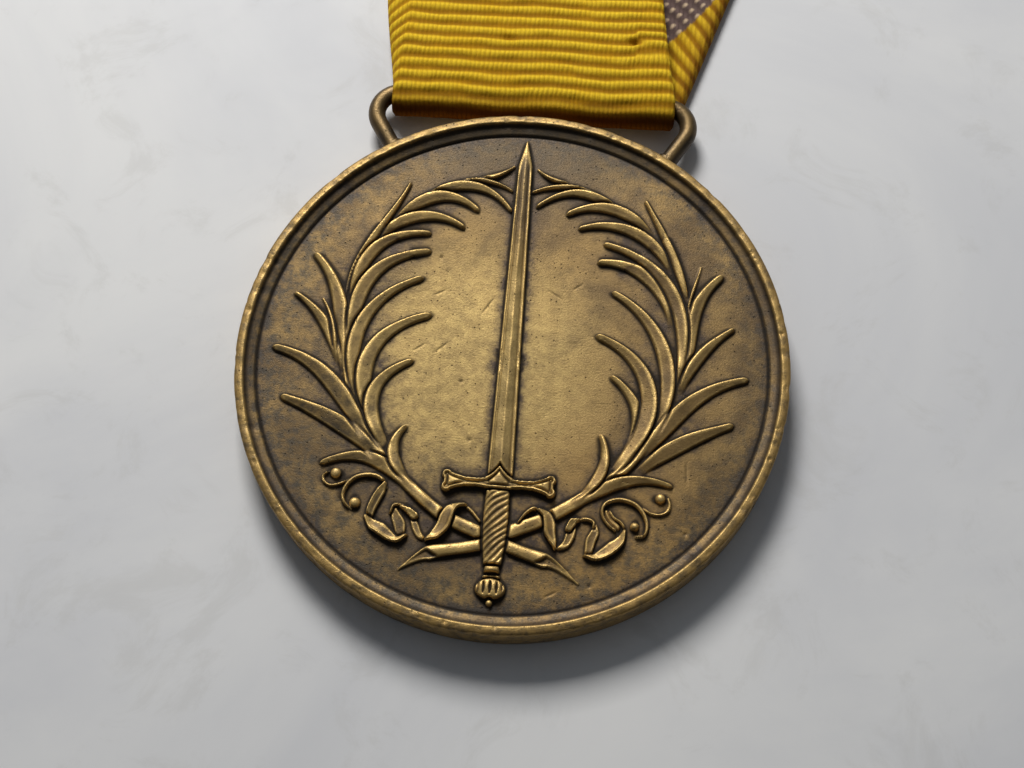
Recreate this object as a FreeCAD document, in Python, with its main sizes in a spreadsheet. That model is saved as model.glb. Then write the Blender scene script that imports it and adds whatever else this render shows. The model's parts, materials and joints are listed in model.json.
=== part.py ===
"""Military service medal: a struck bronze disc, its brazed wire bail and a ribbed ribbon folded round the bail.

The medal lies face up. The origin is at the disc's centre on its back, +X runs to the right as the struck
face is read, +Y runs from the disc's centre towards the ribbon and +Z stands out of the struck face.
"""

import FreeCAD, Part
import math
import os

import Sketcher
from FreeCAD import Vector

SIZES = {
    # Struck disc
    "disc_diameter": 33.0,
    "disc_thickness": 2.6,
    "rim_width": 0.7,
    "step_width": 0.65,
    "step_depth": 0.3,
    "field_depth": 0.6,
    "back_depth": 0.3,
    "back_roundel": 15.0,
    "edge_round": 0.3,
    # Relief on the face
    "relief_root": 0.2,
    "leaf_relief": 0.35,
    "blade_relief": 0.45,
    "hilt_relief": 0.5,
    # Sword, measured along Y from the disc's centre
    "blade_tip": 14.9,
    "blade_shoulder": 13.0,
    "blade_root": -7.2,
    "blade_width": 1.5,
    "blade_end_width": 0.85,
    "guard_line": -7.65,
    "guard_length": 6.9,
    "guard_end_height": 1.4,
    "guard_end_length": 0.9,
    "guard_neck_height": 0.4,
    "guard_block_width": 1.6,
    "guard_block_height": 0.85,
    "grip_bottom": -12.6,
    "grip_width": 1.4,
    "grip_end_width": 1.0,
    "collar_height": 0.65,
    "collar_width": 1.15,
    "pommel_centre": -13.8,
    "pommel_diameter": 1.6,
    "finial_bottom": -14.8,
    "finial_width": 0.3,
    # Suspension wire
    "wire_diameter": 1.1,
    "bar_gap": 1.85,
    "bail_width": 19.9,
    "bend_radius": 1.5,
    "foot_spread": 16.8,
    "braze_diameter": 1.9,
    "braze_shift": 0.2,
    # Ribbon
    "ribbon_width": 18.0,
    "fold_width": 16.8,
    "ribbon_thickness": 0.5,
    "fold_clearance": 0.05,
    "leg_gap": 1.35,
    "leg_length": 34.0,
    "leg_settle": 14.0,
    "front_root_height": 1.8,
    "front_rest_height": 0.7,
    "front_lean": 3.0,
    "rear_height": 0.1,
    "rear_root_shift": 0.6,
    "rear_lean": 11.0,
}

# The palm on the +X side; the other palm is its mirror image. Each leaf is a crescent between two arcs:
# where it springs, where it ends, how far its middle bows towards +X, and its width there.
PALM_LEAVES = [
    ((4.8, -8.0), (5.7, -4.2), 0.6, 0.60),
    ((6.2, -6.5), (6.1, -0.4), 1.25, 0.70),
    ((7.4, -5.5), (5.1, 2.2), 2.2, 0.80),
    ((9.3, -2.5), (5.9, 5.0), 1.6, 0.70),
    ((9.6, 1.0), (5.2, 6.8), 1.4, 0.60),
    ((10.0, 2.5), (5.4, 8.1), 1.3, 0.55),
    ((9.4, 6.2), (3.7, 8.8), 1.25, 0.55),
    ((8.2, 8.8), (2.8, 9.9), 0.9, 0.55),
    ((6.7, 10.3), (0.9, 10.1), 0.95, 0.45),
    ((6.2, 10.9), (0.9, 11.2), 0.85, 0.35),
    ((2.2, 12.2), (0.9, 13.0), -0.1, 0.35),
    ((10.5, 4.2), (7.4, 11.4), 0.2, 0.50),
    ((10.2, -0.5), (12.5, 6.3), -0.4, 0.60),
    ((10.5, -1.2), (13.4, 3.2), -0.5, 0.50),
    ((8.2, -5.5), (14.2, -0.1), -0.85, 0.70),
    ((8.2, -6.3), (13.4, -3.1), -0.4, 0.65),
    ((4.2, -8.6), (10.2, -7.1), -0.8, 0.60),
]
PALM_STEM = ((0.9, -10.6), (10.4, 4.5), 2.9, 0.75)
CUT_STEM = ((0.9, -11.4), (4.9, -13.0), 0.1, 0.75)

# Carved tie ribbon on the +X side: each curl is an arc band, given by its centre, its mean radius, the
# angles it runs between (degrees from +X) and its width. The small discs end the curls.
TIE_CURLS = [
    ((9.3, -8.0), 0.75, 180, 420, 0.25),
    ((7.3, -9.2), 1.1, -30, 210, 0.25),
    ((5.9, -10.6), 0.8, 150, 330, 0.35),
    ((2.1, -10.0), 0.95, 0, 180, 0.45),
]
TIE_DROPS = [((9.3, -8.0), 0.32), ((8.1, -9.6), 0.3)]

# Expressions that several sub-parts share: the wire's mid plane, the bar's line and the disc's edge
# above one foot of the bail.
MID_THICKNESS = "sizes.disc_thickness / 2"
BAR_LINE = "sizes.disc_diameter / 2 + sizes.bar_gap"
EDGE_AT_FOOT = "sqrt((sizes.disc_diameter / 2) ^ 2 - (sizes.foot_spread / 2) ^ 2)"


def make_sheet(doc):
    """Put every driving dimension in a spreadsheet cell with its own alias."""
    sheet = doc.addObject("Spreadsheet::Sheet", "sizes")
    for row, (alias, size) in enumerate(SIZES.items(), start=1):
        sheet.set(f"A{row}", alias.replace("_", " "))
        sheet.set(f"B{row}", str(size))
        sheet.setAlias(f"B{row}", alias)
    doc.recompute()
    return sheet


def origin_plane(body, role):
    """Return one of a body's own origin planes."""
    for feature in body.Origin.OriginFeatures:
        if feature.Role == role:
            return feature
    raise ValueError(f"{body.Name} has no {role}")


def add_sketch(body, name, role, offset=None):
    """Attach an empty sketch to an origin plane, raised along its normal by the expression in offset."""
    sketch = body.newObject("Sketcher::SketchObject", name)
    sketch.AttachmentSupport = [(origin_plane(body, role), "")]
    sketch.MapMode = "FlatFace"
    if offset is not None:
        sketch.setExpression("AttachmentOffset.Base.z", offset)
    return sketch


def place_point(sketch, edge, end, x, y):
    """Fix one end of an edge at (x, y), two expressions; "0" puts it on the axis."""
    point = Vector(sketch.getPoint(edge, end))
    for kind, axis, place, start in (("DistanceX", -2, x, point.x), ("DistanceY", -1, y, point.y)):
        if place == "0":
            sketch.addConstraint(Sketcher.Constraint("PointOnObject", edge, end, axis))
        else:
            index = sketch.addConstraint(Sketcher.Constraint(kind, -1, 1, edge, end, start))
            sketch.setExpression(f"Constraints[{index}]", place)


def add_polygon(sketch, corners):
    """Draw a closed outline of straight edges through corners, which are pairs of expressions."""
    count = len(corners)
    first = sketch.GeometryCount
    turn = 2 * math.pi / count
    ring = [Vector(2 + math.cos(i * turn), 2 + math.sin(i * turn), 0) for i in range(count)]
    for i in range(count):
        sketch.addGeometry(Part.LineSegment(ring[i], ring[(i + 1) % count]), False)
    for i in range(count):
        following = first + (i + 1) % count
        sketch.addConstraint(Sketcher.Constraint("Coincident", first + i, 2, following, 1))
    for i, (x, y) in enumerate(corners):
        place_point(sketch, first + i, 1, x, y)


def add_circle(sketch, x, y, radius):
    """Draw a circle at (x, y) with the given radius, all three expressions."""
    circle = sketch.addGeometry(Part.Circle(Vector(1, 1, 0), Vector(0, 0, 1), 1.0), False)
    place_point(sketch, circle, 3, x, y)
    index = sketch.addConstraint(Sketcher.Constraint("Radius", circle, 1.0))
    sketch.setExpression(f"Constraints[{index}]", radius)


def add_pad(body, sketch, name, length, both_ways=False):
    """Pad a sketch by the expression in length."""
    pad = body.newObject("PartDesign::Pad", name)
    pad.Profile = sketch
    pad.setExpression("Length", length)
    pad.Midplane = both_ways
    return pad


def mirrored(corners):
    """Complete an outline from its +X half, given from top to bottom, by mirroring it in the Y axis."""
    other = [(f"-({x})", y) for x, y in reversed(corners) if x != "0"]
    return corners + other


def edges_of_radius(feature, radius, heights):
    """Name the circular edges of a feature that have a radius and lie at one of the heights."""
    names = []
    for number, edge in enumerate(feature.Shape.Edges, start=1):
        curve = edge.Curve
        if not isinstance(curve, Part.Circle) or abs(curve.Radius - radius) > 1e-4:
            continue
        if any(abs(curve.Center.z - height) < 1e-4 for height in heights):
            names.append(f"Edge{number}")
    return names


def make_planchet(doc, sheet):
    """Turn the blank: a rim and a step round the face's field, and a rim and a plain roundel on the back."""
    body = doc.addObject("PartDesign::Body", "planchet")
    profile = add_sketch(body, "planchet_profile", "XZ_Plane")
    edge = "sizes.disc_diameter / 2"
    rim = f"{edge} - sizes.rim_width"
    step = f"{rim} - sizes.step_width"
    top = "sizes.disc_thickness"
    roundel = "sizes.back_roundel / 2"
    corners = [
        ("0", "0"),
        (roundel, "0"),
        (roundel, "sizes.back_depth"),
        (rim, "sizes.back_depth"),
        (rim, "0"),
        (edge, "0"),
        (edge, top),
        (rim, top),
        (rim, f"{top} - sizes.step_depth"),
        (step, f"{top} - sizes.step_depth"),
        (step, f"{top} - sizes.field_depth"),
        ("0", f"{top} - sizes.field_depth"),
    ]
    add_polygon(profile, corners)
    turned = body.newObject("PartDesign::Revolution", "planchet_turned")
    turned.Profile = profile
    turned.ReferenceAxis = (profile, ["V_Axis"])
    turned.Angle = 360
    doc.recompute()
    rounds = body.newObject("PartDesign::Fillet", "planchet_rounds")
    names = edges_of_radius(turned, sheet.disc_diameter / 2, (0.0, sheet.disc_thickness))
    rounds.Base = (turned, names)
    rounds.setExpression("Radius", "sizes.edge_round")
    doc.recompute()
    return body


def make_sword(body):
    """Raise the sword on the face: blade, guard, grip, collar, pommel and finial."""
    field = "sizes.disc_thickness - sizes.field_depth - sizes.relief_root"
    blade_height = "sizes.relief_root + sizes.blade_relief"
    hilt_height = "sizes.relief_root + sizes.hilt_relief"

    blade = [
        ("0", "sizes.blade_tip"),
        ("sizes.blade_end_width / 2", "sizes.blade_shoulder"),
        ("sizes.blade_width / 2", "sizes.blade_root"),
    ]
    line = "sizes.guard_line"
    block = "sizes.guard_block_width / 2"
    neck = "sizes.guard_neck_height / 2"
    arm = "sizes.guard_length / 2"
    flare = f"{arm} - sizes.guard_end_length"
    guard = [
        (block, f"{line} + sizes.guard_block_height / 2"),
        (block, f"{line} + {neck}"),
        (flare, f"{line} + {neck}"),
        (arm, f"{line} + sizes.guard_end_height / 2"),
        (arm, f"{line} - sizes.guard_end_height / 2"),
        (flare, f"{line} - {neck}"),
        (block, f"{line} - {neck}"),
        (block, f"{line} - sizes.guard_block_height / 2"),
    ]
    grip = [
        ("sizes.grip_width / 2", line),
        ("sizes.grip_end_width / 2", "sizes.grip_bottom"),
    ]
    collar = [
        ("sizes.collar_width / 2", "sizes.grip_bottom + 0.1"),
        ("sizes.collar_width / 2", "sizes.grip_bottom - sizes.collar_height"),
    ]
    finial = [
        ("sizes.finial_width / 2", "sizes.pommel_centre"),
        ("sizes.finial_width / 2", "sizes.finial_bottom"),
    ]
    outlines = [
        ("blade", blade, blade_height),
        ("guard", guard, hilt_height),
        ("grip", grip, hilt_height),
        ("collar", collar, hilt_height),
        ("finial", finial, blade_height),
    ]
    for name, outline, height in outlines:
        sketch = add_sketch(body, f"{name}_outline", "XY_Plane", field)
        add_polygon(sketch, mirrored(outline))
        add_pad(body, sketch, name, height)
    sketch = add_sketch(body, "pommel_outline", "XY_Plane", field)
    add_circle(sketch, "0", "sizes.pommel_centre", "sizes.pommel_diameter / 2")
    add_pad(body, sketch, "pommel", hilt_height)


def crescent(root, tip, bow, width):
    """Return the flat face between two arcs that share their ends, bowed to the right of root to tip."""
    start = Vector(*root, 0)
    end = Vector(*tip, 0)
    chord = end - start
    aside = Vector(chord.y, -chord.x, 0).normalize()
    middle = (start + end) * 0.5
    outer = Part.Arc(start, middle + aside * (bow + width / 2), end).toShape()
    inner = Part.Arc(start, middle + aside * (bow - width / 2), end).toShape()
    return Part.Face(Part.Wire([outer, inner]))


def arc_band(centre, radius, start, end, width):
    """Return the flat face of a band of constant width that follows an arc."""
    place = Vector(*centre, 0)

    def at(distance, angle):
        turn = math.radians(angle)
        return place + Vector(distance * math.cos(turn), distance * math.sin(turn), 0)

    outer = radius + width / 2
    inner = radius - width / 2
    middle = (start + end) / 2
    edges = [
        Part.Arc(at(outer, start), at(outer, middle), at(outer, end)).toShape(),
        Part.LineSegment(at(outer, end), at(inner, end)).toShape(),
        Part.Arc(at(inner, end), at(inner, middle), at(inner, start)).toShape(),
        Part.LineSegment(at(inner, start), at(outer, start)).toShape(),
    ]
    return Part.Face(Part.Wire(edges))


def make_palms(doc, sheet):
    """Raise both palm branches and the ends of the carved ribbon that ties them."""
    faces = [crescent(*leaf) for leaf in [*PALM_LEAVES, PALM_STEM, CUT_STEM]]
    faces += [arc_band(*curl) for curl in TIE_CURLS]
    for centre, radius in TIE_DROPS:
        circle = Part.Circle(Vector(*centre, 0), Vector(0, 0, 1), radius)
        faces.append(Part.Face(Part.Wire(circle.toShape())))
    height = sheet.relief_root + sheet.leaf_relief
    solids = [face.extrude(Vector(0, 0, height)) for face in faces]
    palm = solids[0].multiFuse(solids[1:])
    both = palm.fuse(palm.mirror(Vector(0, 0, 0), Vector(1, 0, 0)))
    palms = doc.addObject("Part::Feature", "palms")
    palms.Shape = both
    bottom = sheet.disc_thickness - sheet.field_depth - sheet.relief_root
    palms.Placement = FreeCAD.Placement(Vector(0, 0, bottom), FreeCAD.Rotation())
    return palms


def make_medal_disc(doc, sheet):
    """Strike the disc: the blank with the sword and the palms in one solid."""
    planchet = make_planchet(doc, sheet)
    make_sword(planchet)
    palms = make_palms(doc, sheet)
    doc.recompute()
    disc = doc.addObject("Part::Fuse", "struck_disc")
    disc.Base = planchet
    disc.Tool = palms
    disc.Label = "medal_disc"
    return disc


def make_bail(doc, sheet):
    """Bend the wire: a straight bar, two tight corners and two legs that run in to the disc's edge."""
    body = doc.addObject("PartDesign::Body", "bail")
    body.Label = "suspension_bail"
    path = add_sketch(body, "bail_path", "XY_Plane", MID_THICKNESS)
    bar_y = sheet.disc_diameter / 2 + sheet.bar_gap
    corner = Vector(sheet.bail_width / 2 - sheet.bend_radius, bar_y - sheet.bend_radius, 0)
    foot = Vector(sheet.foot_spread / 2, foot_height(sheet), 0)
    reach = foot - corner
    turn = math.atan2(reach.y, reach.x) + math.acos(sheet.bend_radius / reach.Length)
    touch = corner + Vector(math.cos(turn), math.sin(turn), 0) * sheet.bend_radius
    path.addGeometry(Part.LineSegment(Vector(0, bar_y, 0), Vector(corner.x, bar_y, 0)), False)
    bend = Part.Circle(corner, Vector(0, 0, 1), sheet.bend_radius)
    path.addGeometry(Part.ArcOfCircle(bend, turn, math.pi / 2), False)
    path.addGeometry(Part.LineSegment(touch, foot), False)
    path.addConstraint(Sketcher.Constraint("Tangent", 0, 2, 1, 2))
    path.addConstraint(Sketcher.Constraint("Tangent", 1, 1, 2, 1))
    path.addConstraint(Sketcher.Constraint("Horizontal", 0))
    radius = path.addConstraint(Sketcher.Constraint("Radius", 1, sheet.bend_radius))
    path.setExpression(f"Constraints[{radius}]", "sizes.bend_radius")
    place_point(path, 0, 1, "0", BAR_LINE)
    across = path.addConstraint(Sketcher.Constraint("DistanceX", -1, 1, 1, 3, corner.x))
    path.setExpression(f"Constraints[{across}]", "sizes.bail_width / 2 - sizes.bend_radius")
    place_point(path, 2, 2, "sizes.foot_spread / 2", f"{EDGE_AT_FOOT} - sizes.edge_round")

    section = add_sketch(body, "wire_section", "YZ_Plane")
    add_circle(section, BAR_LINE, MID_THICKNESS, "sizes.wire_diameter / 2")
    doc.recompute()

    half = body.newObject("PartDesign::AdditivePipe", "half_bail")
    half.Profile = section
    half.Spine = path
    doc.recompute()

    seat = add_sketch(body, "disc_edge", "XY_Plane")
    add_circle(seat, "0", "0", "sizes.disc_diameter / 2")
    trim = body.newObject("PartDesign::Pocket", "foot_trim")
    trim.Profile = seat
    trim.Type = "Length"
    trim.Reversed = True
    trim.setExpression("Length", "sizes.disc_thickness")
    doc.recompute()

    whole = body.newObject("PartDesign::Mirrored", "whole_bail")
    whole.Originals = [half, trim]
    whole.MirrorPlane = (origin_plane(body, "YZ_Plane"), [""])
    body.Tip = whole
    return body


def foot_height(sheet):
    """Return how far along Y a leg of the bail reaches, just inside the disc's edge."""
    radius = sheet.disc_diameter / 2
    return math.sqrt(radius**2 - (sheet.foot_spread / 2) ** 2) - sheet.edge_round


def make_braze(doc, label, side, bail):
    """Make the bead of braze round one foot of the bail; side is 1 for +X and -1 for -X."""
    bead = doc.addObject("Part::Sphere", f"{label}_bead")
    bead.setExpression("Radius", "sizes.braze_diameter / 2")
    bead.setExpression("Placement.Base.x", f"{side} * (sizes.foot_spread / 2 + sizes.braze_shift)")
    bead.setExpression("Placement.Base.y", EDGE_AT_FOOT)
    bead.setExpression("Placement.Base.z", MID_THICKNESS)
    disc = doc.addObject("Part::Cylinder", f"{label}_disc_edge")
    disc.setExpression("Radius", "sizes.disc_diameter / 2")
    disc.setExpression("Height", "sizes.disc_thickness")
    outside = doc.addObject("Part::Cut", f"{label}_outside")
    outside.Base = bead
    outside.Tool = disc
    braze = doc.addObject("Part::Cut", label)
    braze.Base = outside
    braze.Tool = bail
    braze.Label = label
    return braze


def make_ribbon_fold(doc, sheet):
    """Wrap the ribbon under the bar: a half tube with a running clearance on the wire."""
    body = doc.addObject("PartDesign::Body", "fold")
    body.Label = "ribbon_fold"
    section = add_sketch(body, "fold_section", "YZ_Plane")
    bar = Vector(sheet.disc_diameter / 2 + sheet.bar_gap, sheet.disc_thickness / 2, 0)
    bore = sheet.wire_diameter / 2 + sheet.fold_clearance
    radii = (bore, bore + sheet.ribbon_thickness)
    for radius in radii:
        circle = Part.Circle(bar, Vector(0, 0, 1), radius)
        section.addGeometry(Part.ArcOfCircle(circle, math.pi / 2, 1.5 * math.pi), False)
    for rise in (1, -1):
        near, far = (bar + Vector(0, rise * radius, 0) for radius in radii)
        section.addGeometry(Part.LineSegment(near, far), False)
    for line, end in ((2, 1), (3, 2)):
        section.addConstraint(Sketcher.Constraint("Coincident", 0, end, line, 1))
        section.addConstraint(Sketcher.Constraint("Coincident", 1, end, line, 2))
        section.addConstraint(Sketcher.Constraint("Vertical", line))
        section.addConstraint(Sketcher.Constraint("PointOnObject", 0, 3, line))
    section.addConstraint(Sketcher.Constraint("Coincident", 0, 3, 1, 3))
    place_point(section, 0, 3, BAR_LINE, MID_THICKNESS)
    bore_size = "sizes.wire_diameter / 2 + sizes.fold_clearance"
    sizes = (bore_size, f"{bore_size} + sizes.ribbon_thickness")
    for arc, radius in enumerate(radii):
        index = section.addConstraint(Sketcher.Constraint("Radius", arc, radius))
        section.setExpression(f"Constraints[{index}]", sizes[arc])
    add_pad(body, section, "fold_pad", "sizes.fold_width", both_ways=True)
    return body


def make_leg(doc, label, stations):
    """Loft one leg of the ribbon through sections given as (along, across, height) expressions."""
    body = doc.addObject("PartDesign::Body", f"{label}_body")
    body.Label = label
    sections = []
    half = "sizes.ribbon_width / 2"
    for number, (along, across, height) in enumerate(stations):
        section = add_sketch(body, f"{label}_section_{number}", "XZ_Plane", f"-({along})")
        top = f"{height} + sizes.ribbon_thickness"
        left = f"{across} - {half}"
        right = f"{across} + {half}"
        add_polygon(section, [(left, height), (right, height), (right, top), (left, top)])
        sections.append(section)
    doc.recompute()
    loft = body.newObject("PartDesign::AdditiveLoft", f"{label}_loft")
    loft.Profile = sections[0]
    loft.Sections = sections[1:]
    loft.Ruled = True
    return body


def make_ribbon_legs(doc):
    """Make the two legs of the ribbon: the front one leans to -X, the rear one is splayed to +X."""
    root = f"{BAR_LINE} + sizes.leg_gap"
    settle = f"{BAR_LINE} + sizes.leg_settle"
    end = f"{BAR_LINE} + sizes.leg_length"
    front_lean = "sizes.front_lean * sizes.leg_settle / sizes.leg_length"
    front = make_leg(
        doc,
        "ribbon_front_leg",
        [
            (root, "0", "sizes.front_root_height"),
            (settle, f"-{front_lean}", "sizes.front_rest_height"),
            (end, "-sizes.front_lean", "sizes.front_rest_height"),
        ],
    )
    rear = make_leg(
        doc,
        "ribbon_rear_leg",
        [
            (root, "sizes.rear_root_shift", "sizes.rear_height"),
            (end, "sizes.rear_lean", "sizes.rear_height"),
        ],
    )
    return front, rear


def check_document(doc, nodes):
    """Stop on any failed object or unsound shape before anything is written."""
    for item in doc.Objects:
        if "Invalid" in item.State or "Error" in item.State:
            raise RuntimeError(f"{item.Name} failed: {item.State}")
    for node in nodes:
        shape = node.Shape
        if shape.isNull() or not shape.isValid():
            raise RuntimeError(f"{node.Label} has no sound shape")


def main():
    """Build every sub-part, check the document and write one STEP file for each."""
    doc = FreeCAD.newDocument("service_medal")
    sheet = make_sheet(doc)
    disc = make_medal_disc(doc, sheet)
    bail = make_bail(doc, sheet)
    doc.recompute()
    right_braze = make_braze(doc, "right_braze_joint", 1, bail)
    left_braze = make_braze(doc, "left_braze_joint", -1, bail)
    fold = make_ribbon_fold(doc, sheet)
    front_leg, rear_leg = make_ribbon_legs(doc)
    doc.recompute()
    nodes = [disc, bail, right_braze, left_braze, fold, front_leg, rear_leg]
    check_document(doc, nodes)
    os.makedirs("parts", exist_ok=True)
    for node in nodes:
        node.Shape.exportStep(f"parts/{node.Label}.step")
        print(node.Label, round(node.Shape.Volume, 3), len(node.Shape.Solids))


main()
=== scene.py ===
"""Looks of the military service medal: struck relief, worn bronze, wire bail and ribbed ribbon.

Blender's unit is the metre. Shapes are worked out in millimetres and multiplied by MM at the end.
"""

import json
import math
from functools import partial

import bpy
import numpy as np
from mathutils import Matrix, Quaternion, Vector


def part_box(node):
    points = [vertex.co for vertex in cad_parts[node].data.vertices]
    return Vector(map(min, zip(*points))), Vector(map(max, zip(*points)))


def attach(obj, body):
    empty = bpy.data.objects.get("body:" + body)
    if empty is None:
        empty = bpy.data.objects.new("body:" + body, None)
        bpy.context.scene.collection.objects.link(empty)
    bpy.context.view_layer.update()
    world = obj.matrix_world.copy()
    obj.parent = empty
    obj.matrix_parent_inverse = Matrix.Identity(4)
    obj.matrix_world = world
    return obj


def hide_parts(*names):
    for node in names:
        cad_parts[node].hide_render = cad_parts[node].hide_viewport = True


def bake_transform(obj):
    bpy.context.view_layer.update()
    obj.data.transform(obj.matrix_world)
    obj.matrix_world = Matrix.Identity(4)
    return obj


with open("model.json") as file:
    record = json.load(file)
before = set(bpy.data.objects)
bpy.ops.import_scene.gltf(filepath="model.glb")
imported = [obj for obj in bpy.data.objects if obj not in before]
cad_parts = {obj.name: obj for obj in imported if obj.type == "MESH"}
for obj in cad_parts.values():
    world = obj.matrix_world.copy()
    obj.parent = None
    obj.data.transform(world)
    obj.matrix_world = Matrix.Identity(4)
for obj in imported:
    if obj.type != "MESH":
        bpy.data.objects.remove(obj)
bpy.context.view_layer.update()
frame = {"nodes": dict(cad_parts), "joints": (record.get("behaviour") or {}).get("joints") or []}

MM = 0.001
SEED = 7

# ---- sizes in mm, most of them taken from the frame

DISC_LOW, DISC_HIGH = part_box("medal_disc")
DISC_RADIUS = (DISC_HIGH.x - DISC_LOW.x) / 2 / MM
THICKNESS = DISC_HIGH.z / MM
BAR = next(joint for joint in frame["joints"] if joint["name"] == "front_leg_swing")["pos_m"]
BAR_Y = BAR[1] / MM
BAR_Z = BAR[2] / MM
BAIL_LOW, BAIL_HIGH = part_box("suspension_bail")
WIRE_RADIUS = (BAIL_HIGH.z - BAIL_LOW.z) / 2 / MM
FRONT_LOW, FRONT_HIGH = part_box("ribbon_front_leg")
LEG_END = FRONT_HIGH.y / MM - BAR_Y
HALF_WIDTH = 9.0
FRONT_LEAN = -(FRONT_LOW.x / MM + HALF_WIDTH)
REAR_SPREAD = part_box("ribbon_rear_leg")[1].x / MM - HALF_WIDTH

# ---- the struck disc, in mm

EDGE_ROUND = 0.2
EDGE_WEAR = 0.03
RIM_INSIDE = DISC_RADIUS - 0.66
STEP_INSIDE = DISC_RADIUS - 1.24
FIELD_TOP = THICKNESS - 0.6
STEP_RISE = 0.1
STEP_SLOPE = 0.17
RIM_RISE = THICKNESS - FIELD_TOP - STEP_RISE - STEP_SLOPE
RIM_KNOCKS = 150
BACK_DEPTH = 0.3
BACK_ROUNDEL = 7.5
BEAD_RADIUS = 15.1
BEAD_HALF = 0.25
BEAD_HEIGHT = 0.14
BEADS = 134
LATTICE_CELLS = 4 * 134
FLATNESS = 0.006
STRIKE_SHIFT = -0.16

# Heights above the field, and the crease that runs round every shape
LEAF_RELIEF = 0.34
STEM_RELIEF = 0.38
SWORD_RELIEF = 0.45
HILT_RELIEF = 0.52
TIE_RELIEF = 0.36
CREASE_WIDTH = 0.13
CREASE_DEPTH = 0.75

# ---- the design of the palms, in mm
#
# Both palms are written for the +X side, and the left one is mirrored. A leaf is given by where it springs
# from, where it ends, how far its middle bows to the right of the way it grows, and its width.

STEM_SHARE = 0.65
LEFT_SPINE = [
    (0.9, -10.6), (3.5, -9.4), (6.9, -6.4), (8.9, -3.5), (10.0, 0.5),
    (10.1, 5.0), (8.4, 9.0), (5.0, 11.6), (2.0, 12.2),
]
RIGHT_SPINE = [
    (0.9, -10.4), (3.5, -9.1), (7.2, -6.2), (9.2, -3.0), (10.2, 1.0),
    (10.4, 4.5), (8.6, 9.0), (5.0, 11.5), (2.0, 12.2),
]
LEFT_LEAVES = [
    ((5.2, -7.8), (5.7, -4.4), 0.65, 0.80),
    ((6.4, -6.2), (5.7, -0.3), 1.45, 0.95),
    ((6.9, -5.3), (4.9, 2.7), 2.05, 1.05),
    ((8.4, -3.6), (5.6, 5.1), 1.75, 0.92),
    ((9.4, 0.0), (5.3, 6.9), 1.55, 0.98),
    ((9.8, 3.0), (5.4, 8.1), 1.3, 0.85),
    ((8.8, 7.2), (3.4, 8.6), 1.0, 0.80),
    ((7.8, 8.8), (2.6, 9.8), 1.0, 0.88),
    ((6.4, 10.4), (0.6, 9.9), 1.05, 0.72),
    ((5.2, 11.2), (0.6, 11.3), 0.5, 0.45),
    ((3.1, 12.05), (0.6, 13.1), -0.25, 0.42),
    ((10.2, 3.6), (7.0, 11.5), 0.25, 0.56),
    ((9.5, -2.0), (12.4, 6.3), -0.65, 1.05),
    ((10.1, -1.0), (13.3, 3.6), -0.6, 0.75),
    ((10.3, -0.6), (11.6, 3.4), -0.25, 0.34),
    ((7.6, -5.6), (14.2, 0.0), -0.9, 1.10),
    ((6.9, -6.7), (13.3, -3.1), -0.5, 1.10),
    ((4.6, -8.6), (10.5, -7.1), -1.2, 0.90),
]
RIGHT_LEAVES = [
    ((4.6, -8.1), (5.7, -4.2), 0.6, 0.75),
    ((6.0, -6.9), (6.1, -0.5), 1.4, 0.92),
    ((6.6, -6.1), (5.1, 2.0), 2.0, 1.08),
    ((8.6, -4.3), (5.9, 4.9), 1.6, 0.98),
    ((9.5, 2.6), (4.9, 6.8), 1.15, 0.95),
    ((10.0, -0.6), (5.2, 8.1), 1.75, 0.9),
    ((9.6, 6.0), (3.6, 9.0), 1.15, 0.80),
    ((8.2, 8.8), (2.8, 9.9), 0.85, 0.80),
    ((7.2, 9.6), (0.9, 10.3), 1.05, 0.66),
    ((5.8, 10.9), (0.2, 11.1), 0.6, 0.45),
    ((3.1, 12.05), (0.8, 13.0), -0.25, 0.38),
    ((10.5, 4.0), (7.6, 11.2), 0.25, 0.62),
    ((10.5, 3.4), (11.2, 7.0), -0.12, 0.26),
    ((10.1, -1.5), (12.5, 6.4), -0.7, 1.1),
    ((10.2, -1.4), (13.3, 3.0), -0.5, 0.76),
    ((7.6, -6.0), (14.2, -0.2), -0.85, 1.06),
    ((7.8, -6.6), (13.4, -3.1), -0.4, 1.02),
    ((4.1, -8.8), (10.0, -7.1), -0.85, 0.82),
]


# ---- curves and the laying of shapes


def smooth(value):
    """Return an S-shaped ramp from 0 to 1 as value runs from 0 to 1."""
    value = np.clip(value, 0.0, 1.0)
    return value * value * (3 - 2 * value)


def hump(distance, width):
    """Return a bell-shaped bump, 1 where distance is 0."""
    return np.exp(-((distance / width) ** 2))


def dome(across, roundness=0.7):
    """Return the height of a rounded top: 1 where across is 0, and lower towards -1 and 1."""
    return np.sqrt(np.clip(1 - roundness * across**2, 0, 1))


def spline(points, per_span=8):
    """Return points along a Catmull-Rom curve through the given points."""
    knots = np.array(points, float)
    ends = [2 * knots[0] - knots[1], *knots, 2 * knots[-1] - knots[-2]]
    share = np.linspace(0, 1, per_span, endpoint=False)[:, None]
    line = []
    for before, start, end, after in zip(ends, ends[1:], ends[2:], ends[3:]):
        linear = (end - before) * share
        square = (2 * before - 5 * start + 4 * end - after) * share**2
        cube = (3 * start - before - 3 * end + after) * share**3
        line.append(start + 0.5 * (linear + square + cube))
    return np.vstack([*line, knots[-1:]])


def within(x, y, half_width, low, high):
    """Return the index of the points in an upright box about the middle of the design."""
    return np.nonzero((np.abs(x) < half_width) & (y > low) & (y < high))[0]


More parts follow.
